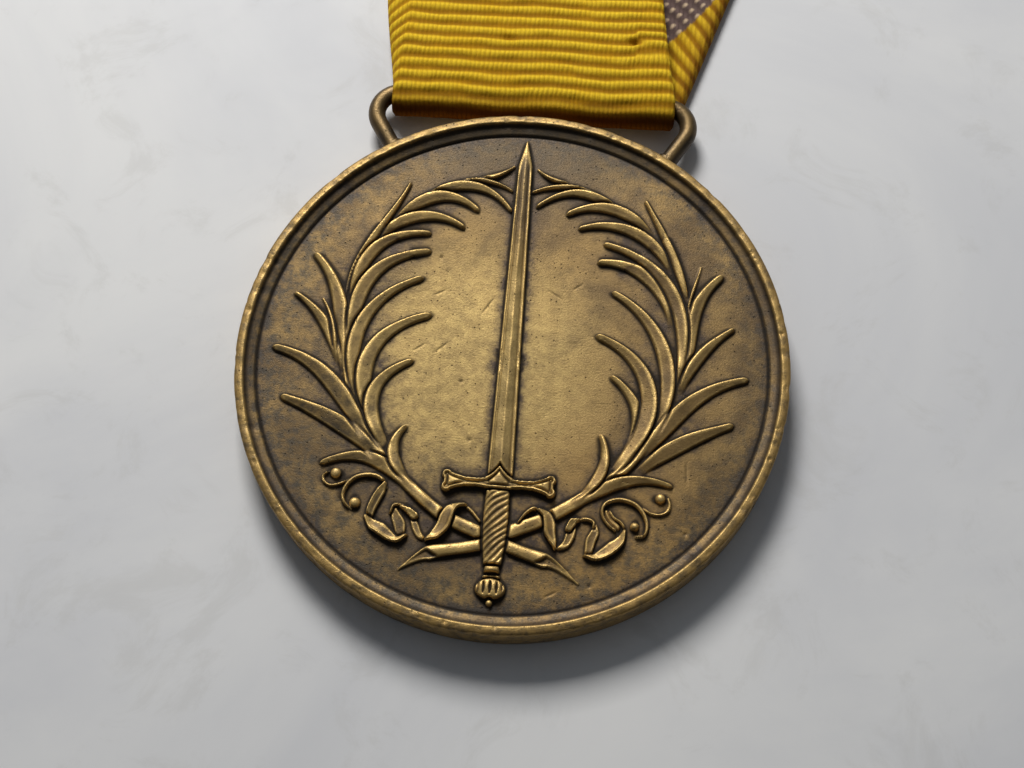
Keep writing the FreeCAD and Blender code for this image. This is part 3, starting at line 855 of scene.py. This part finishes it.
def build_braze(name, side):
    """Make the small fillet of braze that flares from the wire's foot onto the disc's edge.

    side is 1 for the +X foot and -1 for the other.
    """
    low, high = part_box(name)
    centre = np.array(low + high) / 2 / MM
    out = np.array([centre[0], centre[1], 0.0])
    out /= np.linalg.norm(out)
    rise = np.array([0.0, 0.0, 1.0])
    across = np.cross(rise, out)
    foot = out * (DISC_RADIUS - 0.25) + rise * centre[2]
    wire = np.array(WIRE_LEAN) * (side, 1, 1)
    turns = np.linspace(0, 2 * np.pi, 40, endpoint=False)
    round_wire = np.cos(turns)[:, None] * across + 0.95 * np.sin(turns)[:, None] * rise
    rings = []
    for share in np.linspace(0, 1, 12):
        flare = BRAZE_FLARE * (1 - share) ** 2.4 * (1 + 0.25 * np.sin(3 * turns + side))
        middle = foot + (out * (1 - share) + wire * share) * BRAZE_LENGTH * share
        rings.append(middle + (WIRE_RADIUS + 0.02 + flare)[:, None] * round_wire)
    faces = tube_faces(len(rings), len(turns))
    fillet = new_mesh(name.replace("_joint", "_fillet"), np.vstack(rings), faces)
    return fix_to_medal(fillet, name)


# ---- the ribbon, in mm

RIB_PITCH = 0.92
CORD_PITCH = 0.3
CLOTH_HALF = 0.2
RIB_LIFT = 0.15
BORDER_ROUND = 0.25
FOLD_RISE = WIRE_RADIUS + 0.33
FOLD_SAG = 1.35
FRONT_REST = 0.95
REAR_REST = 0.36
REAR_BIAS = math.radians(46.6)
STRIPE_EDGE = 10.06
STRIPE_WIDTH = 6.0
LATTICE_PITCH = 0.6
LEFT_NEEDLE = (-1.9, 4.1)
RIGHT_NEEDLE = (6.2, 4.2)


def ribbon_path(rise, first_turn, rest_height, settle, step):
    """Return the ribbon's middle line as distance along, y, z and the outward normal's y and z.

    The line starts on the sagging fold round the bar, at first_turn from the fold's lowest point, leaves
    the bar at its top (rise 1) or underside (rise -1), and settles at rest_height above the table.
    """
    turns = np.linspace(first_turn, math.pi / 2, 40)
    fold_y = -FOLD_SAG * np.cos(turns)
    fold_z = rise * FOLD_RISE * np.sin(turns)
    flat = np.arange(step, LEG_END, step)
    y = BAR_Y + np.concatenate([fold_y, flat])
    level = BAR_Z + rise * FOLD_RISE
    z = np.concatenate([BAR_Z + fold_z, level + (rest_height - level) * smooth(flat / settle)])
    distance = np.concatenate([[0], np.cumsum(np.hypot(np.diff(y), np.diff(z)))])
    even = np.arange(0, distance[-1], step)
    y = np.interp(even, distance, y)
    z = np.interp(even, distance, z)
    even -= distance[len(turns) - 1]
    slope_y = np.gradient(y, even)
    slope_z = np.gradient(z, even)
    length = np.hypot(slope_y, slope_z)
    return even, y, z, -rise * slope_z / length, rise * slope_y / length


def edge_closing(from_border):
    """Return how full the cloth's thickness is at each distance from its border, rounded off there."""
    return dome(np.clip(1 - from_border / BORDER_ROUND, 0, 1), 1) * 0.97 + 0.03


def build_sheet(name, path, side_x, drop, half, marks):
    """Make one closed cloth sheet.

    side_x, drop and half are grids over distance along and share across: the x of each point, how far the
    cloth drops there, and half its thickness. marks holds such grids of numbers for the materials, by name.
    """
    distance, y, z, normal_y, normal_z = path
    rows, columns = side_x.shape
    size = rows * columns
    sides = []
    for face in (1, -1):
        out = face * half - drop
        up = [y[:, None] + normal_y[:, None] * out, z[:, None] + normal_z[:, None] * out]
        sides.append(np.stack([side_x, *up], 2).reshape(-1, 3))
    front = grid_faces(rows, columns)
    number = np.arange(size).reshape(rows, columns)
    border = np.concatenate([number[0], number[1:, -1], number[-1, -2::-1], number[-2:0:-1, 0]])
    following = np.roll(border, -1)
    closing = np.stack([following, border, border + size, following + size], 1)
    faces = np.vstack([front, front[:, ::-1] + size, closing]).tolist()
    sheet = new_mesh(name, np.vstack(sides), faces)
    for mark, values in marks.items():
        set_attribute(sheet, mark, np.tile(values.ravel(), 2))
    corners = np.zeros(len(sheet.data.loops), np.int32)
    sheet.data.loops.foreach_get("vertex_index", corners)
    cloth = np.stack([np.tile(side_x.ravel(), 2), np.tile(np.repeat(distance, columns), 2)], 1)
    place = sheet.data.uv_layers.new(name="cloth")
    place.data.foreach_set("uv", cloth[corners].astype(np.float32).ravel())
    return sheet


def rib_shape(phase):
    """Return how far up a rib each point is, from 0 in the valley to 1 on the crest."""
    return 0.5 + 0.5 * np.cos(2 * np.pi * phase)


def hang_ribbon(ribbon, leg):
    """Let a sheet stand for the fold and one leg of the ribbon: hide those parts and fix the sheet's
    transform into its mesh.
    """
    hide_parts(leg, "ribbon_fold")
    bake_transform(ribbon)


def needle_marks(side_x, along):
    """Return how far the two needle marks push the ribs along, and how deep the marks are."""
    left_x = side_x - LEFT_NEEDLE[0]
    left_along = along - LEFT_NEEDLE[1]
    right_x = side_x - RIGHT_NEEDLE[0]
    right_along = along - RIGHT_NEEDLE[1]
    pinch = 0.1 * hump(left_x, 1.2) * hump(left_along, 0.9)
    jump = 0.45 * smooth(right_x / 0.3) * hump(right_along, 1.1)
    left_hole = 0.16 * hump(left_x, 0.45) * hump(left_along + 0.1, 0.2)
    right_hole = 0.3 * hump(right_x - 0.1, 0.42) * hump(right_along, 0.22)
    return pinch - jump, left_hole + right_hole


def build_front_ribbon():
    """Make the ribbon's front half: round the bar from below, over its top and down onto the rear leg."""
    path = ribbon_path(1, -math.pi / 2, FRONT_REST, 14.0, RIB_PITCH / 9.5)
    along, share = np.meshgrid(path[0], np.linspace(-1, 1, 88), indexing="ij")
    flat = np.maximum(along, 0)
    lean = FRONT_LEAN * (1 - np.exp(-flat * 0.16 / FRONT_LEAN))
    side_x = HALF_WIDTH * share - lean - 0.25 * smooth(flat / 8) * smooth((-share - 0.7) / 0.3)

    roll_width = 0.5 + smooth(flat / 7)
    roll = np.clip(1 - HALF_WIDTH * (1 + share) / roll_width, 0, 1) * smooth((along + 1) / 3)
    wave = 0.08 * ripple(side_x, along * 0.35, 5.5, SEED + 5) + 0.02 * ripple(side_x, along, 1.7, SEED + 4)
    push, hole = needle_marks(side_x, along)
    rib = rib_shape((along + wave + 0.85 * roll_width * roll + push) / RIB_PITCH)

    lift = 1 + 0.2 * ripple(side_x, along, 2.0, SEED + 7)
    half = CLOTH_HALF + RIB_LIFT * (rib - 0.5) * lift
    half = half * edge_closing(HALF_WIDTH * (1 - np.abs(share)))
    sag = 0.05 * ripple(side_x, along, 6.0, SEED + 6) * smooth(flat / 2)
    # Painted shade: the cloth darkens round the fold, towards the bar's underside.
    marks = {"rib": rib * (1 - np.clip(5 * hole, 0, 1)), "cloth_shade": smooth((-0.1 - along) / 1.5)}
    ribbon = build_sheet("front_ribbon", path, side_x, 0.55 * roll**1.5 + hole + sag, half, marks)
    hang_ribbon(ribbon, "ribbon_front_leg")
    return ribbon


def build_rear_ribbon():
    """Make the rear half of the ribbon: from under the bar, along the table and splayed to +X.

    Its cloth is turned, so its ribs and its lattice stripe run slantwise, and its +X side is a crease.
    """
    path = ribbon_path(-1, math.pi / 2, REAR_REST, 2.5, 0.13)
    along, share = np.meshgrid(path[0], np.linspace(-1, 1, 150), indexing="ij")
    side_x = HALF_WIDTH * share + 0.5 + REAR_SPREAD * np.maximum(along, 0) / LEG_END
    from_crease = HALF_WIDTH * (1 - share)
    grain_x = side_x + 0.5 * hump(from_crease, 1.2)
    grain_y = along + BAR_Y
    along_rib = grain_y * math.cos(REAR_BIAS) - grain_x * math.sin(REAR_BIAS)
    across_rib = grain_x * math.cos(REAR_BIAS) + grain_y * math.sin(REAR_BIAS)
    phase = (across_rib + 0.12 * ripple(side_x, along, 5.0, SEED + 8)) / RIB_PITCH
    rib = rib_shape(phase)

    lift = (1 + 0.15 * ripple(side_x, along, 2.0, SEED + 9)) * (0.35 + 0.65 * smooth(from_crease / 1.4))
    swell = 0.18 * hump(from_crease - 0.5, 0.8)
    half = CLOTH_HALF + swell + RIB_LIFT * (rib - 0.5) * lift
    half = half * edge_closing(np.minimum(from_crease * 0.5, HALF_WIDTH * (1 + share)))

    into_stripe = along_rib - STRIPE_EDGE
    knot = 0.5 + 0.5 * np.cos(2 * np.pi * (along_rib / LATTICE_PITCH + 0.5 * np.floor(phase + 0.5)))
    marks = {
        "rib": rib,
        "stripe": smooth(into_stripe / 0.1 + 0.5) * smooth((STRIPE_WIDTH - into_stripe) / 0.1 + 0.5),
        # Painted shade: the whole rear leg is a little darker, and much darker along its +X crease.
        "cloth_shade": 0.2 + 0.55 * hump(from_crease, 0.75),
        "knot": knot * rib**0.7,
    }
    ribbon = build_sheet("rear_ribbon", path, side_x, swell, half, marks)
    hang_ribbon(ribbon, "ribbon_rear_leg")
    return ribbon


# ---- materials


def srgb(red, green, blue):
    """Turn an sRGB colour, 0 to 255, into the linear colour that shaders use."""
    parts = []
    for value in (red, green, blue):
        value = value / 255
        parts.append(value / 12.92 if value <= 0.04045 else ((value + 0.055) / 1.055) ** 2.4)
    return (*parts, 1.0)


# Bronze
DISC_DARK = srgb(108, 87, 56)
DISC_WORN = srgb(146, 119, 73)
WIRE_DARK = srgb(62, 52, 38)
WIRE_WORN = srgb(100, 82, 54)
BRONZE_STAIN = srgb(82, 66, 44)
FIELD_GOLD = srgb(196, 168, 106)
BLUE_BLACK = srgb(62, 62, 58)
# Brown for patina and for painted shade: in wide hollows, at the rim's foot, and in specks
SHADE_AND_PATINA_BROWN = srgb(74, 62, 52)
TOP_SHADE_BROWN = srgb(92, 78, 58)
DARK_RECESS = srgb(34, 27, 18)
WARM_OCHRE = srgb(176, 138, 76)
RIM_GOLD = srgb(172, 140, 82)
# Gold worn bright by rubbing, and also a painted highlight, on what stands up
RUB_AND_HIGHLIGHT_GOLD = srgb(238, 200, 124)

# Cloth
# Painted shade in the ribs' valleys
RIB_VALLEY_SHADE = srgb(156, 110, 6)
RIB_CREST = srgb(240, 200, 44)
FADED_GOLD = srgb(214, 158, 6)
THREAD_SHADE = srgb(176, 122, 2)
CORD_SHADE = srgb(150, 104, 6)
LATTICE_GROUND = srgb(108, 90, 86)
LATTICE_KNOT = srgb(224, 200, 168)
# Painted shade, multiplied over the cloth on the fold and on the rear leg
CLOTH_SHADE_BROWN = srgb(150, 112, 70)

# Floor
STONE_GREY = srgb(216, 217, 220)
STONE_WHITE = srgb(234, 234, 233)
STONE_VEIN = srgb(190, 188, 182)


class Shader:
    """A material's node tree, built one node at a time."""

    def __init__(self, name):
        self.material = bpy.data.materials.new(name)
        self.material.use_nodes = True
        self.tree = self.material.node_tree
        self.tree.nodes.clear()
        self.output = self.tree.nodes.new("ShaderNodeOutputMaterial")
        self.surface = self.tree.nodes.new("ShaderNodeBsdfPrincipled")
        self.tree.links.new(self.surface.outputs["BSDF"], self.output.inputs["Surface"])

    def put(self, socket, value):
        """Link a socket to another node's output, or set its value."""
        if isinstance(value, bpy.types.NodeSocket):
            self.tree.links.new(value, socket)
        else:
            socket.default_value = value

    def node(self, kind, inputs=None, **settings):
        """Add a node, set its settings and fill its inputs by name or number."""
        made = self.tree.nodes.new(kind)
        for key, value in settings.items():
            setattr(made, key, value)
        for key, value in (inputs or {}).items():
            self.put(made.inputs[key], value)
        return made

    def finish(self, **inputs):
        """Fill the surface's inputs and return the material."""
        for key, value in inputs.items():
            self.put(self.surface.inputs[key.replace("_", " ")], value)
        return self.material

    def millimetres(self):
        """Return the object's own coordinates in millimetres."""
        place = self.node("ShaderNodeTexCoord").outputs["Object"]
        return self.scaled(place, (1 / MM,) * 3)

    def scaled(self, place, scale, turn=0.0):
        """Return coordinates turned about Z and scaled."""
        inputs = {"Vector": place, "Rotation": (0, 0, turn), "Scale": scale}
        return self.node("ShaderNodeMapping", inputs).outputs["Vector"]

    def distance(self, place, x, y):
        """Return each point's distance in mm from the upright line at x, y."""
        flat = self.node("ShaderNodeVectorMath", {0: place, 1: (1, 1, 0)}, operation="MULTIPLY").outputs[0]
        away = self.node("ShaderNodeVectorMath", {0: flat, 1: (x, y, 0)}, operation="DISTANCE")
        return away.outputs["Value"]

    def noise(self, place, scale, detail=4.0, roughness=0.55, distortion=0.0):
        """Return a noise value between 0 and 1."""
        inputs = {"Vector": place, "Scale": scale, "Detail": detail}
        inputs.update({"Roughness": roughness, "Distortion": distortion})
        return self.node("ShaderNodeTexNoise", inputs).outputs[0]

    def ramp(self, value, low, high, start=0.0, end=1.0):
        """Remap a value from low..high to start..end, clamped."""
        inputs = {"Value": value, "From Min": low, "From Max": high, "To Min": start, "To Max": end}
        return self.node("ShaderNodeMapRange", inputs, interpolation_type="SMOOTHSTEP").outputs[0]

    def combine(self, operation, first, second):
        """Return the result of a named operation on two numbers."""
        return self.node("ShaderNodeMath", {0: first, 1: second}, operation=operation).outputs[0]

    def add(self, first, second):
        """Return first plus second."""
        return self.combine("ADD", first, second)

    def times(self, first, second):
        """Return first times second."""
        return self.combine("MULTIPLY", first, second)

    def mix(self, share, first, second, blend="MIX"):
        """Mix two colours."""
        inputs = {0: share, 6: first, 7: second}
        return self.node("ShaderNodeMix", inputs, data_type="RGBA", blend_type=blend).outputs[2]

    def attribute(self, name):
        """Return a number stored on the mesh."""
        return self.node("ShaderNodeAttribute", attribute_name=name).outputs["Fac"]

    def bump(self, height, distance, strength):
        """Return a normal bent by a height; distance is in mm."""
        inputs = {"Height": height, "Distance": distance * MM, "Strength": strength}
        return self.node("ShaderNodeBump", inputs).outputs[0]


def bronze_base(shader, place, dark, worn):
    """Return bronze's uneven brown and gold, and the cloud that drives it."""
    mottle = shader.noise(place, 0.28, 7.0, 0.62, 0.5)
    cloud = shader.noise(place, 1.5, 6.0, 0.68)
    body = shader.mix(shader.ramp(mottle, 0.38, 0.62), dark, worn)
    return shader.mix(shader.ramp(cloud, 0.48, 0.75, 0.0, 0.45), body, BRONZE_STAIN), cloud


def round_patch(shader, place, centre, inner, outer, share):
    """Return a soft round patch: share within the inner radius and 0 beyond the outer one."""
    return shader.ramp(shader.distance(place, *centre), inner, outer, share, 0.0)


def rub_and_highlight_share(shader, recess, cloud, out, inside_rim):
    """Return how far each point is worn bright by rubbing and given a painted highlight: what stands up is,
    less on the step and the rim.
    """
    on_step = shader.times(shader.ramp(out, STEP_INSIDE - 0.3, STEP_INSIDE - 0.1), inside_rim)
    off_step = shader.combine("SUBTRACT", 1.0, shader.times(on_step, 0.85))
    uneven = shader.times(off_step, shader.ramp(cloud, 0.36, 0.7, 0.85, 0.45))
    uneven = shader.times(uneven, shader.ramp(out, RIM_INSIDE, RIM_INSIDE + 0.1, 1.0, 0.45))
    return shader.times(shader.ramp(recess, -0.12, -0.7), uneven)


def patina(shader, place, body, cloud):
    """Darken what is sunk with patina and painted shade, rub bright what stands up and add a painted
    highlight there, darken the field's top with painted shade, and wear the middle of the field to a pale
    gold.
    """
    recess = shader.attribute("recess")
    hollow = shader.attribute("hollow")
    out = shader.distance(place, 0, 0)
    inside_rim = shader.ramp(out, RIM_INSIDE, RIM_INSIDE + 0.12, 1.0, 0.0)
    middle = round_patch(shader, place, (-2.5, -0.5), 3.5, 10.5, 0.9)
    far = shader.ramp(shader.distance(place, 5.0, 7.0), 12.0, 20.0)
    near_step = shader.ramp(out, 12.0, STEP_INSIDE - 0.3)
    near_rim = shader.ramp(out, RIM_INSIDE - 0.6, RIM_INSIDE - 0.3, 1.0, 0.45)
    # Painted shade: a dark band at the foot of the rim's inner wall.
    rim_foot_shade = shader.ramp(out, RIM_INSIDE - 0.4, RIM_INSIDE - 0.05, 0.0, 0.4)
    on_rim = shader.ramp(out, RIM_INSIDE + 0.05, RIM_INSIDE + 0.2)
    # Patina and painted shade: the field is darker in wide hollows among the relief.
    shade = shader.ramp(hollow, 0.05, 0.9, 0.0, 0.85)
    # Dirt and painted shade: small recesses, such as the creases round the relief, are darkened.
    grime_and_shade = shader.ramp(recess, 0.1, 0.75, 0.0, 0.9)
    coats = (
        (shader.times(middle, shader.ramp(cloud, 0.3, 0.62, 1.0, 0.5)), FIELD_GOLD),
        # Painted shade: the top of the field, near the ribbon, is darkened.
        (round_patch(shader, place, (0.0, 18.0), 5.5, 11.0, 0.8), TOP_SHADE_BROWN),
        (round_patch(shader, place, (6.0, -11.0), 2.0, 8.5, 0.38), WARM_OCHRE),
        (shader.times(far, shader.ramp(cloud, 0.38, 0.68, 0.0, 0.6)), BLUE_BLACK),
        (shader.times(shade, shader.ramp(cloud, 0.32, 0.68, 0.45, 1.4)), SHADE_AND_PATINA_BROWN),
        (shader.times(near_step, shader.ramp(cloud, 0.4, 0.62, 0.05, 0.45)), BLUE_BLACK),
        (shader.times(rim_foot_shade, inside_rim), SHADE_AND_PATINA_BROWN),
        (shader.times(on_rim, shader.ramp(cloud, 0.4, 0.66, 0.9, 0.25)), RIM_GOLD),
        (shader.times(grime_and_shade, near_rim), DARK_RECESS),
    )
    for share, colour in coats:
        body = shader.mix(share, body, colour)
    # Worn bright by rubbing, plus a painted highlight: what stands above its surroundings is mixed toward
    # bright gold.
    rub_and_highlight = rub_and_highlight_share(shader, recess, cloud, out, inside_rim)
    return shader.mix(rub_and_highlight, body, RUB_AND_HIGHLIGHT_GOLD), recess, rub_and_highlight


def bronze_material(name, dark, worn, struck):
    """Make old bronze: brown patina and painted shade in the recesses, gold from rubbing and a painted
    highlight on what stands up, with fine pits and scratches.

    struck is true for the disc, which has its own patina, and false for the wire.
    """
    shader = Shader(name)
    place = shader.millimetres()
    grain = shader.noise(place, 9.0, 4.0, 0.7)
    body, cloud = bronze_base(shader, place, dark, worn)
    rough = shader.ramp(grain, 0.3, 0.7, 0.44, 0.58)
    if struck:
        body, recess, rub_and_highlight = patina(shader, place, body, cloud)
        rough = shader.add(rough, shader.ramp(recess, 0.05, 0.6, 0.0, 0.2))
        rough = shader.add(rough, shader.times(rub_and_highlight, -0.14))
    else:
        # Painted highlight, read also as wear: the wire's upward-facing surfaces are mixed toward a paler
        # gold.
        facing = shader.node("ShaderNodeNewGeometry").outputs["Normal"]
        upward = shader.node("ShaderNodeSeparateXYZ", {0: facing}).outputs["Z"]
        body = shader.mix(shader.ramp(upward, 0.8, 1.0, 0.0, 0.3), body, RIM_GOLD)
        rough = shader.add(rough, -0.1)
    pits = shader.node("ShaderNodeTexVoronoi", {"Vector": place, "Scale": 2.8, "Randomness": 1.0})
    spots = shader.ramp(pits.outputs["Distance"], 0.04, 0.16, 1.0, 0.0)
    spots = shader.times(spots, shader.ramp(cloud, 0.42, 0.54))
    body = shader.mix(shader.times(spots, 0.8), body, DARK_RECESS)
    speck = shader.ramp(shader.noise(place, 4.5, 5.0, 0.75), 0.56, 0.7, 0.0, 0.45)
    body = shader.mix(speck, body, SHADE_AND_PATINA_BROWN)

    height = shader.add(grain, shader.times(spots, -1.3))
    for turn, scale in ((0.9, 1.3), (-0.5, 0.9)):
        streaks = shader.scaled(place, (0.7, 9.0, 1.0), turn)
        scratch = shader.ramp(shader.noise(streaks, scale, 2.0, 0.5), 0.68, 0.74)
        height = shader.add(height, shader.times(scratch, -0.35))
    normal = shader.bump(height, 0.03, 0.7)
    return shader.finish(Base_Color=body, Metallic=0.6, Roughness=rough, Normal=normal)


def ribbon_material(name, striped):
    """Make golden rep cloth: bright ribs, valleys darkened as painted shade, fine threads along it and, if
    striped, a lattice.
    """
    shader = Shader(name)
    cloth = shader.node("ShaderNodeUVMap", uv_map="cloth").outputs[0]
    fade = shader.noise(cloth, 0.5, 4.0, 0.6)
    threads = shader.noise(shader.scaled(cloth, (6.0, 0.9, 1.0)), 1.2, 3.0, 0.6)
    fuzz = shader.noise(cloth, 8.0, 3.0, 0.7)
    across = shader.node("ShaderNodeSeparateXYZ", {0: cloth}).outputs[0]
    turns = shader.add(shader.times(across, 2 * math.pi / CORD_PITCH), shader.times(fade, 9.0))
    cords = shader.combine("SINE", turns, 0.0)
    # Painted shade: the ribs' valleys and the needle holes are coloured darker than the crests.
    colour = shader.mix(shader.ramp(shader.attribute("rib"), 0.0, 0.95), RIB_VALLEY_SHADE, RIB_CREST)
    colour = shader.mix(shader.ramp(fade, 0.4, 0.75, 0.0, 0.35), colour, FADED_GOLD)
    colour = shader.mix(shader.ramp(threads, 0.3, 0.52, 0.3, 0.0), colour, THREAD_SHADE)
    colour = shader.mix(shader.ramp(cords, -1.0, 0.2, 0.3, 0.0), colour, CORD_SHADE)
    if striped:
        knot = shader.ramp(shader.attribute("knot"), 0.25, 1.05)
        lattice = shader.mix(knot, LATTICE_GROUND, LATTICE_KNOT)
        colour = shader.mix(shader.attribute("stripe"), colour, lattice)
    # Painted shade on the fold and the rear leg
    colour = shader.mix(shader.attribute("cloth_shade"), colour, CLOTH_SHADE_BROWN, "MULTIPLY")
    height = shader.add(threads, shader.times(fuzz, 0.6))
    normal = shader.bump(shader.add(height, shader.times(cords, 0.35)), 0.05, 0.8)
    rough = shader.ramp(fuzz, 0.3, 0.7, 0.7, 0.95)
    return shader.finish(Base_Color=colour, Roughness=rough, Specular_IOR_Level=0.15, Normal=normal)


def floor_material():
    """Make pale stone with a faint cloudy figure."""
    shader = Shader("pale_stone")
    place = shader.millimetres()
    cloud = shader.noise(place, 0.03, 6.0, 0.6, 0.6)
    vein = shader.noise(place, 0.16, 8.0, 0.7, 0.8)
    colour = shader.mix(shader.ramp(cloud, 0.3, 0.7), STONE_GREY, STONE_WHITE)
    colour = shader.mix(shader.ramp(vein, 0.52, 0.66, 0.0, 0.2), colour, STONE_VEIN)
    return shader.finish(Base_Color=colour, Roughness=shader.ramp(vein, 0.3, 0.7, 0.54, 0.6))


# ---- scene

FLOOR_HALF = 2000.0


def cover(piece, material):
    """Give a piece one material."""
    piece.data.materials.clear()
    piece.data.materials.append(material)


def build_floor():
    """Lay a plain pale floor under the medal."""
    corners = [(x * FLOOR_HALF, y * FLOOR_HALF, 0) for x, y in ((-1, -1), (1, -1), (1, 1), (-1, 1))]
    floor = new_mesh("floor", corners, [(0, 1, 2, 3)])
    cover(floor, floor_material())


def build_sky():
    """Make a dim sky, darker on the side where someone would stand to look at the medal."""
    world = bpy.data.worlds.new("sky")
    world.use_nodes = True
    nodes = world.node_tree.nodes
    links = world.node_tree.links
    background = nodes["Background"]
    background.inputs["Color"].default_value = (0.86, 0.92, 1.0, 1)
    axes = nodes.new("ShaderNodeSeparateXYZ")
    dimmed = nodes.new("ShaderNodeMapRange")
    for socket, value in (("From Min", -0.7), ("From Max", 0.6), ("To Min", 0.03), ("To Max", 0.22)):
        dimmed.inputs[socket].default_value = value
    links.new(nodes.new("ShaderNodeTexCoord").outputs["Generated"], axes.inputs[0])
    links.new(axes.outputs["Y"], dimmed.inputs["Value"])
    links.new(dimmed.outputs[0], background.inputs["Strength"])
    bpy.context.scene.world = world


def build_light():
    """Light the medal like a window near its upper left, with a square soft lamp that points at it."""
    window = bpy.data.lights.new("window", "AREA")
    window.size = 0.09
    window.energy = 0.62
    window.color = (1.0, 0.98, 0.95)
    lamp = bpy.data.objects.new("window", window)
    lamp.location = (-0.055, 0.188, 0.175)
    lamp.rotation_euler = (-lamp.location).to_track_quat("-Z", "Y").to_euler()
    bpy.context.scene.collection.objects.link(lamp)


def build_camera():
    """Stand the camera in front of the medal and high above it, turned slightly to one side."""
    azimuth = math.radians(7.58)
    elevation = math.radians(69.7)
    distance = 90.1
    target = Vector((0.16, -1.58, THICKNESS))
    roll = -0.0593
    flat = math.cos(elevation)
    back = Vector((math.sin(azimuth) * flat, -math.cos(azimuth) * flat, math.sin(elevation)))
    data = bpy.data.cameras.new("camera")
    data.sensor_width = 36.0
    data.lens = 53.8
    data.clip_start = 0.001
    camera = bpy.data.objects.new("camera", data)
    camera.location = (target + back * distance) * MM
    camera.rotation_mode = "QUATERNION"
    camera.rotation_quaternion = (-back).to_track_quat("-Z", "Y") @ Quaternion((0, 0, 1), roll)
    bpy.context.scene.collection.objects.link(camera)
    bpy.context.scene.camera = camera


bronze = bronze_material("worn_bronze", DISC_DARK, DISC_WORN, struck=True)
wire = bronze_material("wire_bronze", WIRE_DARK, WIRE_WORN, struck=False)
cover(build_disc(), bronze)
cover(frame["nodes"]["suspension_bail"], wire)
cover(build_braze("left_braze_joint", -1), wire)
cover(build_braze("right_braze_joint", 1), wire)
cover(build_front_ribbon(), ribbon_material("golden_rep", striped=False))
cover(build_rear_ribbon(), ribbon_material("striped_rep", striped=True))
build_floor()
build_sky()
build_light()
build_camera()
bpy.context.scene.view_settings.view_transform = "Standard"
